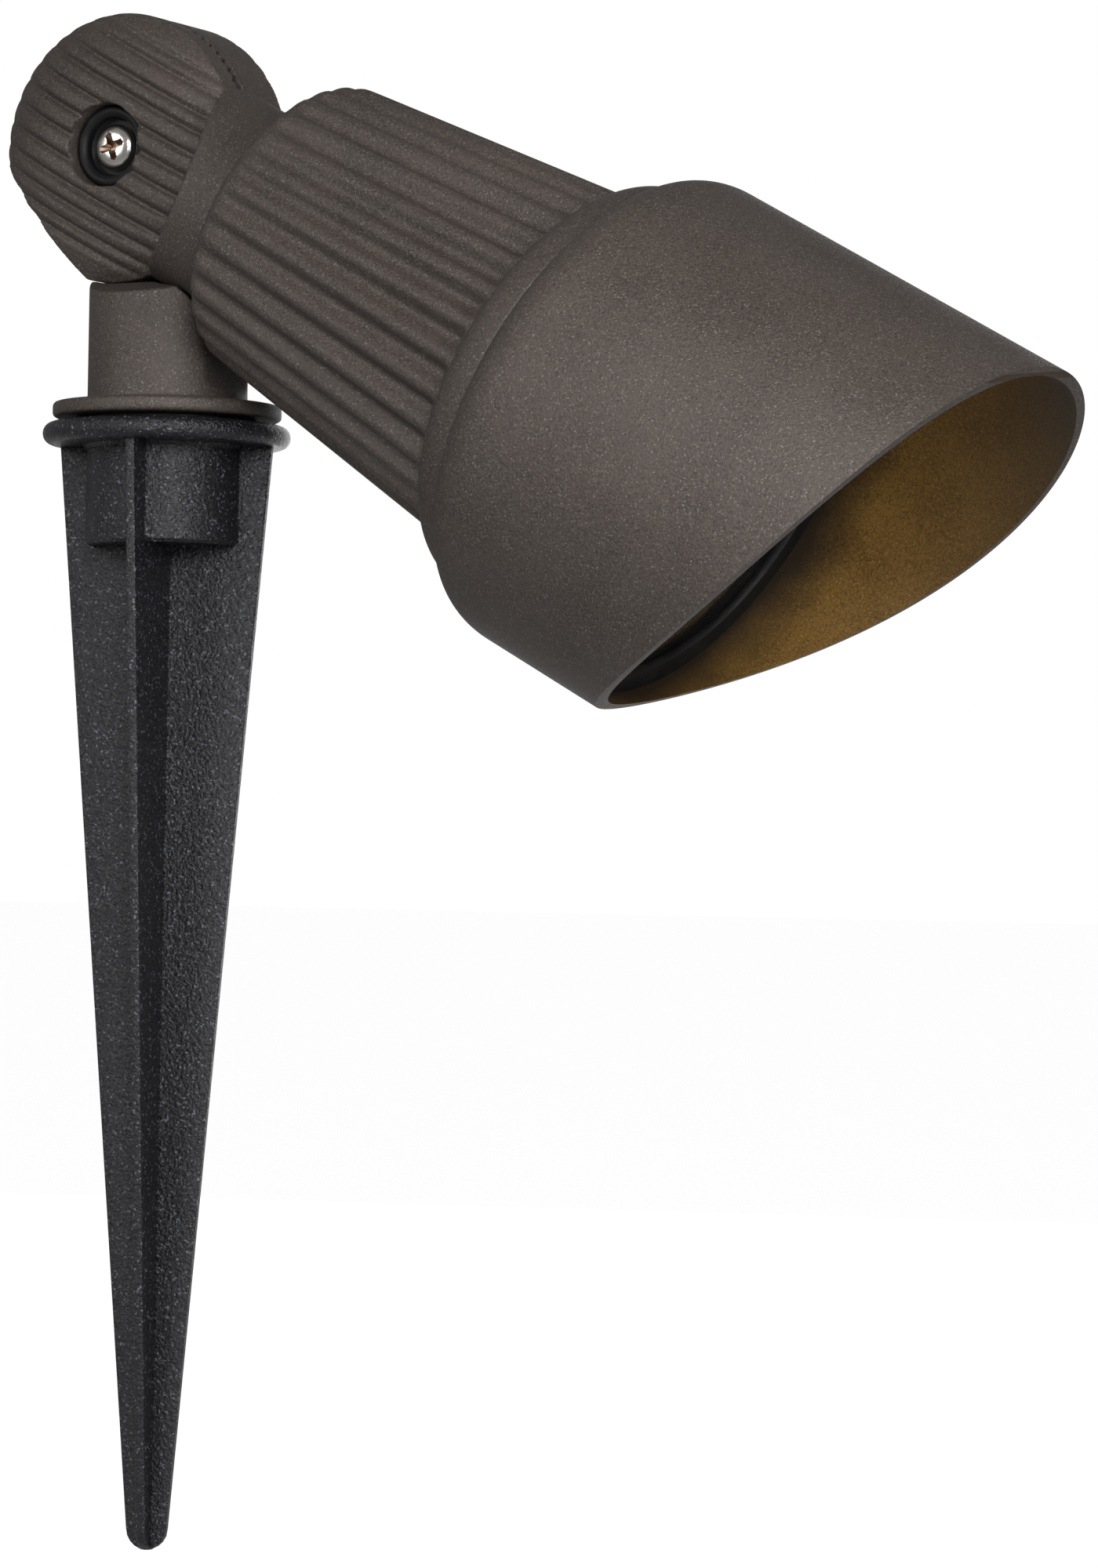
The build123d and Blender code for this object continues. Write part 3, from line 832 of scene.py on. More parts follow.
@dataclass
class Hood(Maker):
    """Sleeve with a round shoulder and a long upper lip, its lens and the ring that holds it."""

    start: float = 113.8
    start_radius: float = 41.9
    shoulder_length: float = 7.9
    radius: float = 46.9
    wall: float = 2.0
    sleeve_radius: float = 39.65
    seat: float = 136.5
    rim: tuple[Point, Point, Point] = ((145.0, -46.9), (178.3, 0.0), (193.9, 46.9))
    rim_round: float = 0.75
    lens_radius: float = 42.55
    lens_thickness: float = 4.0
    ring_web: float = 1.2
    ring_lip: float = 2.0
    spare: float = 12.0
    trim_reach: float = 80.0
    gold_margin: float = 0.35
    crease: float = 38.0
    columns: int = 224
    trim_columns: int = 720
    pane_columns: int = 128

    def _rim_circle(self) -> tuple[Point, float]:
        """Centre and radius of the arc that trims the lip.

        Returns:
            The centre as station and height, and the radius.
        """
        (ax, ay), (bx, by), (cx, cy) = self.rim
        double = 2 * (ax * (by - cy) + bx * (cy - ay) + cx * (ay - by))
        a, b, c = ax * ax + ay * ay, bx * bx + by * by, cx * cx + cy * cy
        x = (a * (by - cy) + b * (cy - ay) + c * (ay - by)) / double
        y = (a * (cx - bx) + b * (ax - cx) + c * (bx - ax)) / double
        return (x, y), math.hypot(bx - x, by - y)

    def _shell(self) -> Piece:
        """Turns the sleeve and trims its lip.

        Returns:
            The hood's shell in its own millimetres.
        """
        far = self.rim[2][0] + self.spare
        shoulder_end = self.start + self.shoulder_length
        inner = self.radius - self.wall
        profile = [(self.start, self.sleeve_radius), (self.start, self.start_radius)]
        profile += quarter((self.start, self.start_radius), (shoulder_end, self.radius), 14, True)
        profile += [(far, self.radius), (far, inner)]
        profile += [(self.seat, inner), (self.seat, self.sleeve_radius)]
        shell = Bench.lathe("hood_shell", profile + [profile[0]], self.columns)
        (station, height), reach = self._rim_circle()
        low = Vector((height, -self.trim_reach, station))
        high = Vector((height, self.trim_reach, station))
        trim = Bench.rod("hood_trim", reach, low, high, self.trim_columns)
        Bench.combine(shell, trim, Cut.KEEP_COMMON)
        Bench.ease(shell, self.rim_round, 3, 50)
        return shell

    def _lens(self) -> Piece:
        """Turns the flat lens with its eased edges.

        Returns:
            The lens in the head's millimetres.
        """
        back = self.seat + self.ring_web
        front = back + self.lens_thickness
        edge = self.lens_radius
        profile = [(back, 0.0), (back, edge * 0.5), (back, edge - 0.4), (back + 0.4, edge)]
        profile += [(front - 0.6, edge), (front - 0.2, edge - 0.25), (front, edge - 0.8)]
        profile += [(front, edge * 0.5), (front, 0.0)]
        return Bench.lathe("lens_pane", profile, self.pane_columns)

    def _ring(self) -> Piece:
        """Turns the rubber channel round the lens.

        Returns:
            The channel in the head's millimetres.
        """
        outer = self.radius - self.wall - 0.05
        lip = self.lens_radius - self.ring_lip
        back, front = self.seat, self.seat + self.lens_thickness + 2 * self.ring_web
        groove_back, groove_front = back + self.ring_web, front - self.ring_web
        profile = [(back, lip), (back, outer), (front - 0.15, outer), (front, outer - 0.15)]
        profile += [(front, lip + 0.6), (front - 0.3, lip + 0.25), (front - 0.9, lip)]
        profile += [(groove_front, lip), (groove_front, self.lens_radius)]
        profile += [(groove_back, self.lens_radius), (groove_back, lip), (back, lip)]
        return Bench.lathe("lens_channel", profile, self.pane_columns)

    def build(self) -> None:
        """Builds the hood, its lens and the lens's ring."""
        frame = self.setting.head(self.setting.hood_turned)
        shell = self._shell()
        inner = self.radius - self.wall + self.gold_margin
        inside = [
            int(polar(face.center)[1] < inner and face.center.z > self.seat - 1)
            for face in shell.data.polygons
        ]
        Bench.finish(shell, frame, self.crease, self.finishes.bronze, self.finishes.gold)
        shell.data.polygons.foreach_set("material_index", inside)
        report(shell, "hood", "hood_coat", "hood")
        lens = self._lens()
        Bench.finish(lens, frame, TURNED_EDGE, self.finishes.glass)
        report(lens, "hood", "lens_glass", "lens")
        ring = self._ring()
        Bench.finish(ring, frame, TURNED_EDGE, self.finishes.rubber)
        report(ring, "hood", "black_rubber", "lens_ring")


@dataclass
class Barrel(Maker):
    """Fluted barrel of the head with its collar, spigot and lamp hollow."""

    start: float = 37.9
    front: float = 105.5
    rear_radius: float = 29.4
    front_radius: float = 36.2
    edge_round: float = 4.8
    flutes: int = 32
    rear_depth: float = 1.1
    front_depth: float = 2.5
    flute_end: float = 104.4
    collar_length: float = 8.0
    collar_radius: float = 41.9
    spigot_radius: float = 39.4
    spigot_bore: float = 35.0
    spigot_end: float = 136.0
    ledge: float = 124.5
    ledge_width: float = 3.0
    hollow_start: float = 44.9
    hollow_rear_radius: float = 25.5
    hollow_front_radius: float = 30.9
    lead_hole: float = 4.0
    round_shares: tuple[float, ...] = (0.012, 0.05, 0.12, 0.25, 0.45, 0.7, 1.0)
    even_stations: tuple[float, ...] = (50.0, 60.0, 72.0, 84.0, 94.0, 98.5)
    end_steps: tuple[float, ...] = (3.0, 2.2, 1.5, 0.9, 0.45, 0.15)
    end_round: float = 2.4
    flute_columns: int = 8
    flute_shares: tuple[float, ...] = (0.42, 0.9, 1.0, 0.9, 0.42)
    crease: float = 40.0

    def _radius(self, station: float) -> float:
        """Works out the radius of the ridges at a station.

        Args:
            station: place along the head.

        Returns:
            The radius in millimetres.
        """
        start = self.start + self.edge_round
        if station < start:
            left = (start - station) / self.edge_round
            return self.rear_radius - self.edge_round * (1 - math.sqrt(max(0.0, 1 - left**2)))
        share = (station - start) / (self.front - start)
        return self.rear_radius + share * (self.front_radius - self.rear_radius)

    def _depth(self, station: float) -> float:
        """Works out the depth of the flutes, which deepen evenly and end in a round hollow.

        Args:
            station: place along the head.

        Returns:
            The depth in millimetres.
        """
        share = (station - self.start) / (self.flute_end - self.start)
        even = self.rear_depth + share * (self.front_depth - self.rear_depth)
        left = min(1.0, max(0.0, self.flute_end - station) / self.end_round)
        fade = min(1.0, (station - self.start) / self.edge_round)
        return even * math.sqrt(max(0.0, 1 - (1 - left) ** 2)) * fade

    def _profile(self) -> tuple[list[Point], list[float]]:
        """Draws the casting's outline.

        Returns:
            The profile, and the stations that carry flutes.
        """
        rounded = [self.start + self.edge_round * share for share in self.round_shares]
        ending = [self.flute_end - step for step in self.end_steps]
        fluted = [*rounded[2:], *self.even_stations, *ending]
        hollow, hole = self.hollow_start, self.lead_hole
        profile = [(hollow, hole), (self.start, hole), (self.start, self.rear_radius * 0.7)]
        profile += [(self.start, self.rear_radius - self.edge_round)]
        profile += [(station, self._radius(station)) for station in rounded[:2] + fluted]
        front, foot = self.front, self.front_radius
        collar_end, collar = front + self.collar_length, self.collar_radius
        rise = (front + 0.25, foot + 0.9)
        profile += [(front - 0.5, self._radius(front - 0.5)), (front - 0.1, foot + 0.15)]
        profile += [(front + 0.1, foot + 0.45), rise]
        profile += quarter(rise, (collar_end, collar), 10, True)[:-1]
        profile += [(collar_end - 0.3, collar - 0.02), (collar_end, collar - 0.3)]
        bore, spigot, tip = self.spigot_bore, self.spigot_radius, self.spigot_end
        profile += [(collar_end, spigot), (tip - 0.5, spigot), (tip, spigot - 0.5), (tip, bore)]
        shelf = bore - self.ledge_width
        profile += [(self.ledge, bore), (self.ledge, shelf), (collar_end, shelf)]
        profile += [(front, self.hollow_front_radius), (hollow, self.hollow_rear_radius)]
        return [*profile, (hollow, hole)], fluted

    def _press_flutes(self, piece: Piece, stations: Sequence[float]) -> None:
        """Draws the flutes' columns towards the axis, station by station.

        Args:
            piece: the barrel.
            stations: stations of the rings that carry flutes.
        """
        pitch = 2 * math.pi / self.flutes
        Bench.edit(piece)
        for station in stations:
            radius = self._radius(station)
            for column, share in enumerate(self.flute_shares, 2):

                def in_column(point: Vector) -> bool:
                    """Tests for this column of this ring."""
                    turn, out = polar(point)
                    return (
                        abs((turn / pitch) % 1.0 - column / self.flute_columns) < 0.03
                        and out > radius - 0.3
                        and abs(point.z - station) < 0.02
                    )

                Bench.pick(piece, in_column)
                scale = 1 - self._depth(station) * share / radius
                Bench.stretch(scale, scale, station)
        Bench.clear()

    def build(self) -> Piece:
        """Builds the barrel.

        Returns:
            The barrel in the part's frame.
        """
        profile, fluted = self._profile()
        barrel = Bench.lathe("barrel", profile, self.flutes * self.flute_columns)
        self._press_flutes(barrel, fluted)
        Bench.modify(barrel, "SUBSURF", levels=1, render_levels=1)
        Bench.finish(barrel, self.setting.head(), self.crease, self.finishes.bronze)
        return barrel


@dataclass
class KnuckleHalf:
    """One half of the knuckle: a domed disc with parallel ribs and a ring of locking teeth."""

    face_depth: float
    rim_depth: float
    seam: float
    radius: float = 25.9
    flat_radius: float = 11.0
    groove_places: tuple[float, ...] = (
        *(21.2, 18.4, 14.1, 10.8, 6.7, 2.5),
        *(-1.7, -6.0, -10.1, -13.5, -16.7, -19.3),
    )
    grooves: tuple[tuple[float, float, float], ...] = ((2.2, 0.38, 0.1), (1.05, 1.15, 0.3))
    teeth: int = 72
    tooth_height: float = 0.9
    tooth_gap: float = 0.5
    tooth_length: float = 8.0
    tooth_base: float = 2.6
    tooth_inset: float = 0.25
    flat_reach: float = 21.3
    dome_steps: int = 8
    columns: int = 160

    def dome(
        self, name: str, inset: float, rim_inset: float, back: float, brim: float
    ) -> Piece:
        """Turns the disc with its crowned face.

        Args:
            name: name of the piece.
            inset: how far the face lies below the ribs' tops.
            rim_inset: the same at the rim.
            back: height of the flat side.
            brim: width of a level brim round the rim.

        Returns:
            The disc about Z.
        """
        face, rim = self.face_depth - inset, self.rim_depth - rim_inset
        reach = self.radius - self.flat_radius
        bend = (reach**2 + (face - rim) ** 2) / (2 * (face - rim))
        profile = [(back, 0.0), (back, self.radius + brim), (rim, self.radius + brim)]
        for i in range(self.dome_steps, -1, -1):
            out = reach * i / self.dome_steps
            profile.append((face - bend + math.sqrt(bend**2 - out**2), self.flat_radius + out))
        return Bench.lathe(name, profile + [(face, 0.0)], self.columns)

    def _beyond(self, flat_turn: float) -> Piece:
        """Adds the block beyond the flat on the outline.

        Args:
            flat_turn: direction of the flat, in degrees from -Y towards -X.

        Returns:
            The block.
        """
        size, flat = 4 * self.radius, -self.flat_reach
        beyond = Bench.block("flat", (-size, flat - size, -size), (size, flat, size))
        beyond.data.transform(rotation(-flat_turn))
        return beyond

    def _groove_slabs(self, width: float) -> Piece:
        """Adds slabs that stand where the grooves lie.

        Args:
            width: the slabs' width.

        Returns:
            The slabs as one piece.
        """
        slabs = []
        for middle in self.groove_places:
            low = (-self.radius - 1, middle - width / 2, self.rim_depth - 3)
            high = (self.radius + 1, middle + width / 2, self.face_depth + 4)
            slabs.append(Bench.block("groove", low, high))
        return Bench.gather("grooves", slabs)

    def disc(self, name: str, flat_turn: float, rib_turn: float) -> Piece:
        """Builds the disc with its grooves and the flat on its outline.

        Args:
            name: name of the piece.
            flat_turn: direction of the outline's flat, in degrees from -Y towards -X.
            rib_turn: direction of the ribs, in degrees from X.

        Returns:
            The disc, with Z out of its face.
        """
        disc = self.dome(name, 0.0, 0.0, self.seam, 0.0)
        for width, depth, rim_depth in self.grooves:
            grooves = self._groove_slabs(width)
            grooves.data.transform(rotation(rib_turn))
            Bench.cut(grooves, self.dome("groove_floor", depth, rim_depth, self.seam - 2, 4.0))
            Bench.cut(disc, grooves)
        Bench.cut(disc, self._beyond(flat_turn))
        return disc

    def tooth_ring(self, name: str, half_step: bool, flat_turn: float) -> Piece:
        """Builds the locking teeth on the seam, their tips towards -Z.

        Args:
            name: name of the piece.
            half_step: true where the teeth stand in the other half's gaps.
            flat_turn: direction of the outline's flat, as for the disc.

        Returns:
            The ring about Z.
        """
        base, outer = self.tooth_base, self.radius - self.tooth_inset
        inner = self.radius - self.tooth_length
        edges = (outer, (inner + outer) / 2, inner)
        profile = [(base, inner), (base, outer), *((0.0, edge) for edge in edges), (base, inner)]
        ring = Bench.lathe(name, profile, self.teeth * 2)
        step = math.pi / self.teeth
        shift = 1 if half_step else 0
        Bench.edit(ring)
        for radius in edges:
            for parity, way in ((0, -1.0), (1, 1.0)):

                def on_crest(point: Vector) -> bool:
                    """Tests for this ring's crests or roots on the seam."""
                    turn, out = polar(point)
                    return (
                        abs(out - radius) < 0.05
                        and abs(point.z) < 0.01
                        and (round(turn / step) + shift) % 2 == parity
                    )

                Bench.pick(ring, on_crest)
                lift = way * self.tooth_height / 2 * radius / self.radius
                bpy.ops.transform.translate(value=(0, 0, lift))
        Bench.clear()
        lift = (self.tooth_gap + self.tooth_height) / 2
        ring.data.transform(Matrix.Translation((0, 0, lift)))
        Bench.cut(ring, self._beyond(flat_turn))
        return ring


@dataclass
class Head(Maker):
    """Head casting: the front half of the knuckle, the neck and the barrel."""

    neck_radius: float = 19.9
    neck_end: float = 42.0
    seam: float = 1.2
    rim_depth: float = 6.0
    face_depth: float = 11.6
    gap: float = 0.6
    bore: float = 8.0
    bore_floor: float = 5.6
    screw_hole: float = 2.2
    flat_turn: float = 21.9
    through: Point = (-5.0, 20.0)
    voxel: float = 0.33
    passes: int = 4

    def _neck(self, knuckle: KnuckleHalf) -> Piece:
        """Builds the neck, hollowed round the stem's knuckle half and behind the ribbed face.

        Args:
            knuckle: the head's knuckle half.

        Returns:
            The neck in the knuckle's millimetres.
        """
        offset = self.setting.neck_offset
        low, high = Vector((0, offset, 0)), Vector((self.neck_end, offset, 0))
        neck = Bench.rod("neck", self.neck_radius, low, high, 128)
        away = 2 * self.neck_radius
        around, within, columns = knuckle.radius + self.gap, knuckle.radius - 0.02, knuckle.columns
        Bench.cut(neck, Bench.pin("behind", around, -away, self.seam, columns))
        Bench.cut(neck, Bench.pin("front", within, self.seam - 1, away, columns))
        return neck

    def build(self) -> None:
        """Builds the casting and its teeth."""
        knuckle = KnuckleHalf(self.face_depth, self.rim_depth, self.seam)
        casting = knuckle.disc("head_casting", self.flat_turn, 0.0)
        Bench.combine(casting, self._neck(knuckle), Cut.JOIN)
        Bench.cut(casting, Bench.pin("bore", self.bore, self.bore_floor, self.through[1], 96))
        Bench.cut(casting, Bench.pin("hole", self.screw_hole, *self.through, 48))
        Bench.soften(casting, self.voxel, self.passes)
        frame = self.setting.knuckle()
        Bench.finish(casting, frame, CAST_EDGE, self.finishes.bronze)
        teeth = knuckle.tooth_ring("head_teeth", False, self.flat_turn)
        Bench.finish(teeth, frame, TOOTH_EDGE, self.finishes.bronze)
        barrel = Barrel(self.setting, self.finishes).build()
        report(casting, "head", "bronze_coat", "head_housing")
        report(teeth, "head", "bronze_coat")
        report(barrel, "head", "bronze_coat")


@dataclass
class Stem(Maker):
    """Stem casting: the flange and post, and the rear half of the knuckle."""

    seat: float = 5.2
    flange_top: float = 8.1
    flange_radius: float = 21.9
    flange_round: float = 0.7
    post_radius: float = 15.3
    flat_x: float = 13.5
    flat_low: float = 9.7
    flat_round: float = 3.0
    slope: float = 17.0
    slope_start: float = 6.0
    seam: float = 1.2
    flat_turn: float = 50.4
    face_depth: float = 16.5
    rim_depth: float = 13.4
    knuckle_gap: float = 0.1
    neck_radius: float = 19.9
    nut_pocket: float = 4.95
    nut_floor: float = 11.5
    nipple_radius: float = 10.4
    nipple_end: float = -8.8
    bore_radius: float = 5.5
    gasket_radius: float = 17.3
    spike_top: float = 4.2
    post_drop: float = 11.0
    saddle_gap: float = 0.6
    saddle_half: float = 20.5
    screw_hole: float = 2.2
    through: Point = (-5.0, 20.0)
    clear: float = 40.0
    top: float = 70.0
    thread_depth: float = 0.9
    thread_pitch: float = 1.8
    columns: int = 160
    voxel: float = 0.4
    passes: int = 4

    def _rear_knuckle(self) -> KnuckleHalf:
        """Sizes of the stem's knuckle half."""
        return KnuckleHalf(self.face_depth, self.rim_depth, self.seam)

    def _turned_post(self) -> Piece:
        """Turns the flange with its rounded edges and the post.

        Returns:
            The round post.
        """
        top, radius, edge = self.flange_top, self.flange_radius, self.flange_round
        post, end = self.post_radius, self.setting.pivot[2] - self.post_drop
        profile = [(self.seat, 0.0), (self.seat, radius - edge)]
        profile += quarter((self.seat, radius - edge), (self.seat + edge, radius), 4, True)
        profile += [(top - edge, radius)]
        profile += quarter((top - edge, radius), (top, radius - edge), 4, False)
        profile += [(top, post + 0.8), (top + 0.25, post + 0.25), (top + 0.8, post)]
        return Bench.lathe("stem_casting", [*profile, (end, post), (end, 0.0)], self.columns)

    def _cut_saddle(self, post: Piece) -> None:
        """Makes room for the head's neck, and for all that is above it.

        Args:
            post: the post.
        """
        setting, far = self.setting, 50
        axis = Vector(setting.pivot) + setting.above() * setting.neck_offset
        width, end = self.neck_radius + self.saddle_gap, axis + setting.along() * 2 * far
        Bench.cut(post, Bench.rod("saddle", width, axis, end, 128))
        half = Vector((far, self.saddle_half, far))
        above = Bench.block("above", -half, half)
        middle = axis + setting.along() * far + setting.above() * far
        above.data.transform(Matrix.Translation(middle) @ rotation(setting.tilt, "Y"))
        Bench.cut(post, above)

    def _cut_front(self, post: Piece) -> None:
        """Scoops the post round the head's knuckle half and slopes its front.

        Args:
            post: the post.
        """
        pivot, clear, start = Vector(self.setting.pivot), self.clear, self.slope_start
        reach = self._rear_knuckle().radius + self.knuckle_gap
        flare = reach + (clear - start) * math.tan(math.radians(self.slope))
        room = [(-self.seam, 0.0), (-self.seam, reach), (start, reach), (clear, flare)]
        scoop = Bench.lathe("scoop", [*room, (clear, 0.0)], self.columns)
        scoop.data.transform(Matrix.Translation(pivot) @ rotation(90, "X"))
        Bench.cut(post, scoop)
        self._cut_saddle(post)
        level = pivot.z - reach
        ahead = Bench.block("level", (pivot.x, -clear, level), (clear, self.seam, self.top))
        Bench.cut(post, ahead)
        before = Bench.block("before", (pivot.x, -1.5 * clear, 0), (clear, 0, clear))
        before.data.transform(Matrix.Translation((0, -start, level)) @ rotation(self.slope, "X"))
        Bench.cut(post, before)

    def _post(self) -> Piece:
        """Builds the flange and post with their cuts and the rounded flat on one side.

        Returns:
            The post in millimetres.
        """
        post = self._turned_post()
        self._cut_front(post)
        low, half = (self.flat_x, self.flat_low), self.clear / 2
        flat = Bench.block("flat", (low[0], -half, low[1]), (0.75 * self.clear, half, self.top))
        Bench.edit(flat)
        Bench.pick(flat, lambda point: point.x < low[0] + 0.1 and point.z < low[1] + 0.1)
        bpy.ops.mesh.bevel(offset=self.flat_round, segments=6, affect="EDGES")
        Bench.clear()
        Bench.cut(post, flat)
        return post

    def _rear_half(self) -> Piece:
        """Builds the rear knuckle half, its ribs upright, with the pocket for the nut.

        Returns:
            The half in the part's millimetres.
        """
        half = self._rear_knuckle().disc("rear_half", -self.flat_turn, 90.0)
        pocket = Bench.pin("pocket", self.nut_pocket, self.nut_floor, self.through[1], 6)
        pocket.data.transform(rotation(90))
        Bench.cut(half, pocket, Bench.pin("hole", self.screw_hole, *self.through, 48))
        half.data.transform(Matrix.Scale(1 / MM, 4) @ self.setting.stem_knuckle())
        return half

    def _nipple(self) -> Piece:
        """Turns the threaded nipple under the flange, with its bore.

        Returns:
            The nipple in millimetres.
        """
        crest, root = self.nipple_radius, self.nipple_radius - self.thread_depth
        bore, top, end = self.bore_radius, self.seat + 2, self.nipple_end
        profile = [(top, bore), (top, root), (self.seat, root)]
        height = self.seat - 2.6
        while height > end + 1.0:
            profile += [(height, root), (height - self.thread_pitch / 2, crest)]
            height -= self.thread_pitch
        profile += [(end, root), (end, bore), (top, bore)]
        return Bench.lathe("nipple", profile, 96)

    def _gasket(self) -> Piece:
        """Turns the rubber washer between stem and spike.

        Returns:
            The washer in millimetres.
        """
        inner, outer = self.nipple_radius + 0.3, self.gasket_radius
        low, high = self.spike_top, self.seat
        profile = [(low, inner), (low, outer - 0.3), (low + 0.25, outer), (high - 0.25, outer)]
        profile += [(high, outer - 0.3), (high, inner), (low, inner)]
        return Bench.lathe("stem_washer", profile, 96)

    def build(self) -> None:
        """Builds the stem's castings and its gasket."""
        casting = self._post()
        Bench.combine(casting, self._rear_half(), Cut.JOIN)
        Bench.soften(casting, self.voxel, self.passes)
        casting = Bench.gather("stem_casting", [casting, self._nipple()])
        Bench.finish(casting, self.setting.upright(), CAST_EDGE, self.finishes.bronze)
        report(casting, "stem", "bronze_coat", "stem")
        turn = self.flat_turn - self.setting.tilt
        teeth = self._rear_knuckle().tooth_ring("stem_teeth", True, turn)
        mirrored = self.setting.knuckle() @ Matrix.Scale(-1, 4, (0, 0, 1))
        Bench.finish(teeth, mirrored, TOOTH_EDGE, self.finishes.bronze)
        report(teeth, "stem", "bronze_coat")
        gasket = self._gasket()
        Bench.finish(gasket, self.setting.upright(), TURNED_EDGE, self.finishes.rubber)
        report(gasket, "stem", "black_rubber", "stem_gasket")


@dataclass
class KnuckleScrew(Maker):
    """Bright cross-recess screw in its rubber cup."""

    seat: float = 6.2
    head_height: float = 2.4
    head_radius: float = 4.4
    shank_radius: float = 2.1
    shank_end: float = -15.9
    cross_reach: float = 3.3
    cross_waist: float = 1.25
    cross_depth: float = 1.9
    cup_radius: float = 7.85
    cup_floor: float = 5.6
    cup_lip: float = 9.0
    cup_wall: float = 2.1
    cup_gap: float = 0.04
    cup_round: float = 1.0
    cup_crease: float = 40.0
    edge_round: float = 0.12
    arm_columns: int = 6
    columns: int = 96

    def _screw(self) -> Piece:
        """Turns the pan head and shank, and sinks the cross.

        Returns:
            The screw in the knuckle's millimetres.
        """
        seat, top = self.seat, self.seat + self.head_height
        end, shank, head = self.shank_end, self.shank_radius, self.head_radius
        profile = [(end, 0.0), (end, shank - 0.4), (end + 0.5, shank), (seat, shank)]
        profile += [(seat, head - 0.15), (seat + 0.2, head), (seat + 0.9, head)]
        profile += quarter((seat + 0.9, head), (top, head * 0.35), 7, False)
        screw = Bench.lathe("cross_screw", [*profile, (top, 0.0)], self.columns)
        Bench.cut(screw, self._cross(top))
        Bench.ease(screw, self.edge_round, 2, 40)
        return screw

    def _cross(self, top: float) -> Piece:
        """Shapes the recess: a rod drawn in to a four-armed star that narrows to its floor.

        Args:
            top: height of the screw's top.

        Returns:
            The recess as a solid.
        """
        floor, arm, far = top - self.cross_depth, self.arm_columns, 0.9 * self.cross_reach
        cross = Bench.pin("cross", self.cross_reach, floor, top + 0.4, 4 * arm)
        shares = (1.0, 0.9, 0.5, self.cross_waist / self.cross_reach)
        Bench.edit(cross)
        for column, share in enumerate(shares):

            def in_arm(point: Vector) -> bool:
                """Tests for the columns at this distance from an arm's middle."""
                step = round(math.degrees(polar(point)[0]) / (90 / arm)) % arm
                return polar(point)[1] > far and min(step, arm - step) == column

            Bench.pick(cross, in_arm)
            Bench.stretch(share, share, floor)
        Bench.pick(cross, lambda point: point.z < floor + 0.1)
        Bench.stretch(0.4, 0.4, floor)
        Bench.clear()
        cross.data.transform(rotation(45))
        return cross

    def _in_cross(self, face: bpy.types.MeshPolygon) -> bool:
        """Tests for a face inside the cross."""
        deep = self.seat + 0.2 < face.center.z < self.seat + self.head_height - 0.25
        return deep and polar(face.center)[1] < self.cross_reach * 0.95

    def _cup(self) -> Piece:
        """Turns the rubber cup with its rounded lip.

        Returns:
            The cup in the knuckle's millimetres.
        """
        outer, inner = self.cup_radius, self.cup_radius - self.cup_wall
        hole, floor, lip = self.shank_radius + 0.15, self.cup_floor, self.cup_lip
        middle, side = (outer + inner) / 2, lip - self.cup_round
        seat = self.seat - self.cup_gap
        profile = [(floor, hole), (floor, outer), (side, outer)]
        profile += quarter((side, outer), (lip, middle), 6, False)
        profile += quarter((lip, middle), (side, inner), 6, True)
        profile += [(seat + 0.5, inner), (seat, inner - 0.5), (seat, hole), (floor, hole)]
        return Bench.lathe("screw_seal", profile, self.columns)

    def build(self) -> None:
        """Builds the screw and its cup."""
        frame = self.setting.knuckle()
        screw = self._screw()
        # Faces inside the cross take the darker nickel: painted shade in the recess.
        dark = [int(self._in_cross(face)) for face in screw.data.polygons]
        Bench.finish(screw, frame, TURNED_EDGE, self.finishes.nickel, self.finishes.dark_nickel)
        screw.data.polygons.foreach_set("material_index", dark)
        report(screw, "stem", "nickel", "knuckle_screw")
        cup = self._cup()
        Bench.finish(cup, frame, self.cup_crease, self.finishes.rubber)
        report(cup, "head", "black_rubber", "screw_cup")


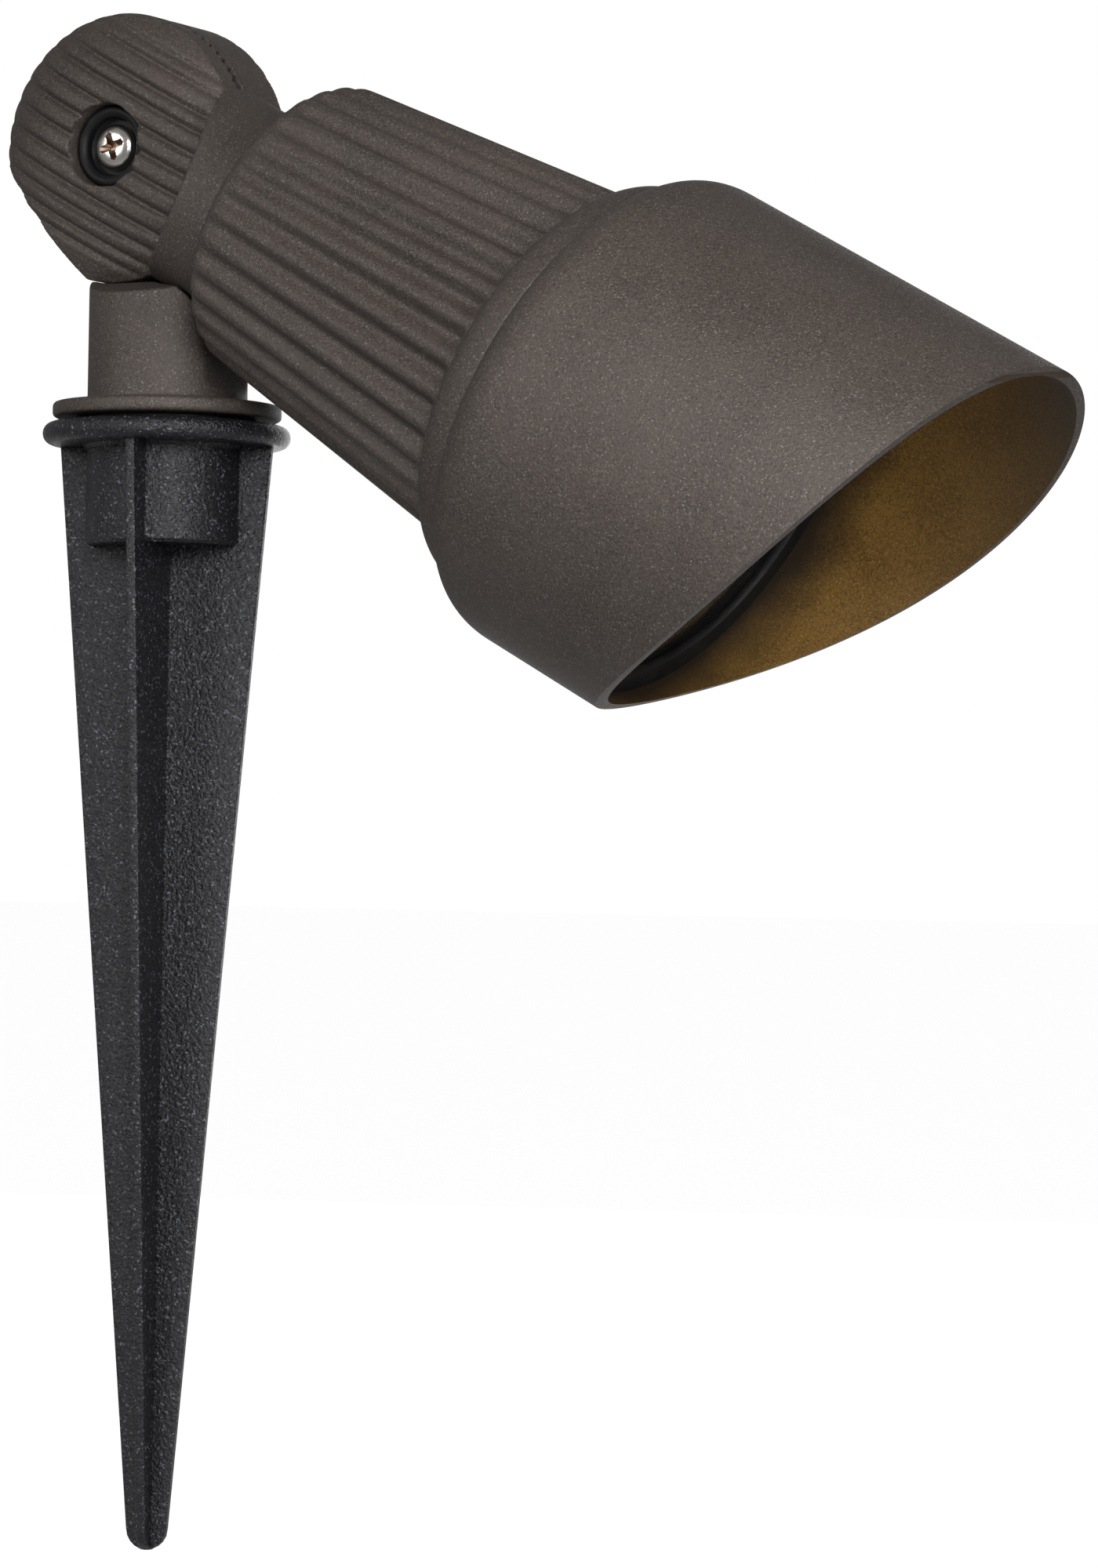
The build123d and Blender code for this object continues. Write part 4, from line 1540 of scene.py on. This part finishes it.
@dataclass
class GroundSpike(Maker):
    """Black plastic spike: bull-nosed flange, boss and four tapering blades."""

    flange_radius: float = 23.7
    flange_top: float = 4.2
    flange_round: float = 2.0
    boss_radius: float = 15.2
    boss_end: float = -19.0
    boss_floor: float = -16.0
    bore_radius: float = 10.7
    reach: float = 21.4
    tip_reach: float = 4.0
    edge: float = 1.8
    root: float = 3.9
    tip_root: float = 2.6
    length: float = 210.8
    turn: float = 15.0
    exit_radius: float = 4.0
    exit_height: float = -12.0
    exit_turn: float = 150.0
    exit_length: float = 30.0
    blade_round: float = 0.35
    tip_shares: tuple[float, ...] = (0.0, 0.35, 0.62, 0.82, 0.94)
    crease: float = 32.0

    def _flange(self) -> Piece:
        """Turns the flange and the boss, with its bore and the way out for the cord.

        Returns:
            The flange and boss in millimetres.
        """
        edge, outer, top = self.flange_round, self.flange_radius, self.flange_top
        boss, end, floor = self.boss_radius, self.boss_end, self.boss_floor
        profile = [(floor, 0.0), (floor, self.bore_radius), (top, self.bore_radius)]
        inner = outer - edge
        profile += [(top, inner), *quarter((top, inner), (top - edge, outer), 6, True)]
        profile += [(edge, outer), *quarter((edge, outer), (0.0, inner), 6, False)]
        profile += [(0.0, boss + 0.7), (-0.7, boss), (end + 0.6, boss), (end, boss - 0.6)]
        flange = Bench.lathe("spike_flange", [*profile, (end, 0.0)], 160)
        angle = math.radians(self.exit_turn)
        way = Vector((math.cos(angle), math.sin(angle), 0)) * self.exit_length
        start = Vector((0, 0, self.exit_height))
        Bench.cut(flange, Bench.rod("exit", self.exit_radius, start, start + way, 48))
        return flange

    def _blade(self) -> Piece:
        """Shapes a pair of opposite blades from a block: thick at the axis, rounded at the tip.

        Returns:
            The pair in millimetres.
        """
        pair = Bench.block("blades", (-1, -1, -self.length), (1, 1, 1))
        Bench.edit(pair)
        bpy.ops.mesh.bisect(plane_co=(0, 0, 0), plane_no=(1, 0, 0))
        steps = [self.tip_reach * (1 - share) - self.length for share in self.tip_shares]
        for height in steps:
            bpy.ops.mesh.select_all(action="SELECT")
            bpy.ops.mesh.bisect(plane_co=(0, 0, height), plane_no=(0, 0, 1))
        tip_top = steps[0]
        for height in [1.0, *steps, -self.length]:
            level = min(1.0, (1.0 - height) / (1.0 - tip_top))
            share = max(0.0, (tip_top - height) / self.tip_reach)
            rounding = math.sqrt(max(0.04, 1 - share**2))
            reach = (self.reach + (self.tip_reach - self.reach) * level) * rounding
            root = self.root + (self.tip_root - self.root) * level
            for outer, width in ((True, self.edge), (False, root)):

                def at(point: Vector) -> bool:
                    """Tests for this level's edge or middle points."""
                    return abs(point.z - height) < 0.01 and (abs(point.x) > 0.5) == outer

                Bench.pick(pair, at)
                Bench.stretch(reach, width / 2, height)
        Bench.clear()
        Bench.ease(pair, self.blade_round, 3, 40)
        return pair

    def build(self) -> None:
        """Builds the spike."""
        flange = self._flange()
        pair = self._blade()
        Bench.cut(pair, Bench.pin("bore", self.bore_radius, self.boss_floor, 10, 96))
        crossed = Bench.copies(pair, [rotation(self.turn), rotation(self.turn + 90)])
        bpy.data.objects.remove(pair, do_unlink=True)
        spike = Bench.gather("spike_moulding", [flange, *crossed])
        Bench.finish(spike, self.setting.upright(), self.crease, self.finishes.spike)
        report(spike, "spike", "spike_plastic", "ground_spike")


@dataclass
class InnerParts:
    """Solids kept from the model inside the head and the knuckle, each with its finish."""

    finishes: Finishes

    def dress(self, nodes: dict[str, Piece]) -> None:
        """Gives the kept solids their materials.

        Args:
            nodes: the model's solids by name.
        """
        recoloured = {
            self.finishes.rubber: ("stem_bush", "knuckle_seal", "hood_o_ring"),
            self.finishes.zinc: ("lock_washer", "knuckle_nut", "socket_bracket", "bracket_screws"),
            self.finishes.nickel: ("lamp_pins",),
            self.finishes.baffle: ("baffle_ring",),
            self.finishes.mirror: ("lamp_reflector",),
            self.finishes.lamp_glass: ("lamp_glass", "lamp_capsule"),
            self.finishes.ceramic: ("lamp_base", "lamp_socket"),
            self.finishes.sleeve: ("lamp_leads",),
            self.finishes.silicone: ("wire_grommet",),
        }
        for material, names in recoloured.items():
            for name in names:
                solid = nodes[name]
                for slot in solid.material_slots:
                    slot.material = material
                log.info("%s dressed in %s", name, material.name)


@dataclass
class Studio:
    """Pale floor, soft lights and the camera."""

    eye: tuple[float, float, float] = (0.564316, -0.828717, -0.080779)
    azimuth: float = 30.0
    elevation: float = -1.0
    roll: float = 0.975
    lens: float = 119.887
    floor_height: float = -0.2125
    sensor: float = 36.0
    ambient: float = 0.2
    floor_glow: float = 1.25
    floor_share: float = 0.75

    def camera(self) -> None:
        """Adds the camera at the photograph's angle."""
        az, el, roll = (math.radians(value) for value in (self.azimuth, self.elevation, self.roll))
        right = Vector((math.cos(az), math.sin(az), 0.0))
        back = Vector((math.sin(az) * math.cos(el), -math.cos(az) * math.cos(el), math.sin(el)))
        up = back.cross(right)
        turned_right = right * math.cos(roll) + up * math.sin(roll)
        turned_up = up * math.cos(roll) - right * math.sin(roll)
        data = bpy.data.cameras.new("camera")
        data.sensor_width = self.sensor
        data.lens = self.lens
        data.clip_end = 20.0
        camera = bpy.data.objects.new("camera", data)
        turn = Matrix((turned_right, turned_up, back)).transposed().to_4x4()
        camera.matrix_world = Matrix.Translation(Vector(self.eye)) @ turn
        bpy.context.collection.objects.link(camera)
        bpy.context.scene.camera = camera

    def lamp(
        self, name: str, place: Sequence[float], aim: Sequence[float], size: float, power: Point
    ) -> None:
        """Adds a square soft light.

        Args:
            name: the light's name.
            place: where it stands, in metres.
            aim: the point that it faces.
            size: side of its square.
            power: its power in watts and the spread of its beam in degrees.
        """
        data = bpy.data.lights.new(name, "AREA")
        data.size = size
        data.energy, spread = power
        data.spread = math.radians(spread)
        light = bpy.data.objects.new(name, data)
        facing = (Vector(aim) - Vector(place)).to_track_quat("-Z", "Y")
        light.matrix_world = Matrix.Translation(Vector(place)) @ facing.to_matrix().to_4x4()
        bpy.context.collection.objects.link(light)

    def world(self) -> None:
        """Lights the scene softly from all round, and shows white to camera and glass."""
        world = bpy.data.worlds.new("studio")
        bpy.context.scene.world = world
        world.use_nodes = True
        nodes = Nodes(world.node_tree)
        camera_ray = nodes.add("ShaderNodeLightPath", {}, {}, "Is Camera Ray")
        glass_ray = nodes.add("ShaderNodeLightPath", {}, {}, "Is Transmission Ray")
        seen = nodes.add("ShaderNodeMath", {"operation": "MAXIMUM"}, {0: camera_ray, 1: glass_ray})
        strength = nodes.add("ShaderNodeMapRange", {}, {0: seen, 3: self.ambient, 4: 1.0})
        ground = nodes.tree.nodes["Background"]
        nodes.feed(ground.inputs["Strength"], strength)
        nodes.feed(ground.inputs["Color"], (1.0, 1.0, 1.0))

    def floor(self) -> None:
        """Lays the pale floor under the spike's tip."""
        Bench.clear()
        bpy.ops.mesh.primitive_plane_add(size=30, location=(0, 0, self.floor_height))
        floor = bpy.context.object
        floor.name = "floor"
        graph = Graph("pale_floor")
        path = graph.add("ShaderNodeLightPath", {}, {}, "Is Camera Ray")
        paper = graph.noise(60.0, 2.0)
        colour = graph.mix(paper, (0.9, 0.9, 0.9), (0.94, 0.94, 0.94))
        graph.shade(Base_Color=colour, Roughness=0.9)
        white = {"Color": (1.0, 1.0, 1.0), "Strength": self.floor_glow}
        glow = graph.add("ShaderNodeEmission", {}, white)
        lit = Socket(graph, graph.shader.outputs[0])
        shown = graph.add("ShaderNodeMixShader", {}, {0: path * self.floor_share, 1: lit, 2: glow})
        graph.feed(graph.tree.nodes["Material Output"].inputs["Surface"], shown)
        floor.data.materials.append(graph.material)

    def build(self) -> None:
        """Builds the studio."""
        self.camera()
        self.world()
        self.floor()
        hood, spike = (0.13, -0.03, 0.0), (-0.01, 0.0, -0.05)
        self.lamp("key", (0.41, -0.52, 0.16), hood, 0.25, (0.29, 50.0))
        self.lamp("fill", (-0.38, -0.82, 0.18), spike, 0.5, (0.22, 40.0))
        self.lamp("side", (0.88, -0.38, 0.04), hood, 0.4, (0.5, 60.0))
        self.lamp("back", (-0.3, 1.0, 0.06), (0.05, 0.0, -0.02), 0.7, (2.4, 180.0))
        bpy.context.scene.view_settings.view_transform = "Standard"


def main() -> None:
    """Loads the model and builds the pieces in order."""
    logging.basicConfig(level=logging.INFO, format="%(name)s: %(message)s")
    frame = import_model()
    Studio().build()
    setting = Setting()
    finishes = Finishes(setting)
    GroundSpike(setting, finishes).build()
    Stem(setting, finishes).build()
    Head(setting, finishes).build()
    Hood(setting, finishes).build()
    KnuckleScrew(setting, finishes).build()
    InnerParts(finishes).dress(frame["nodes"])


if __name__ == "__main__":
    main()
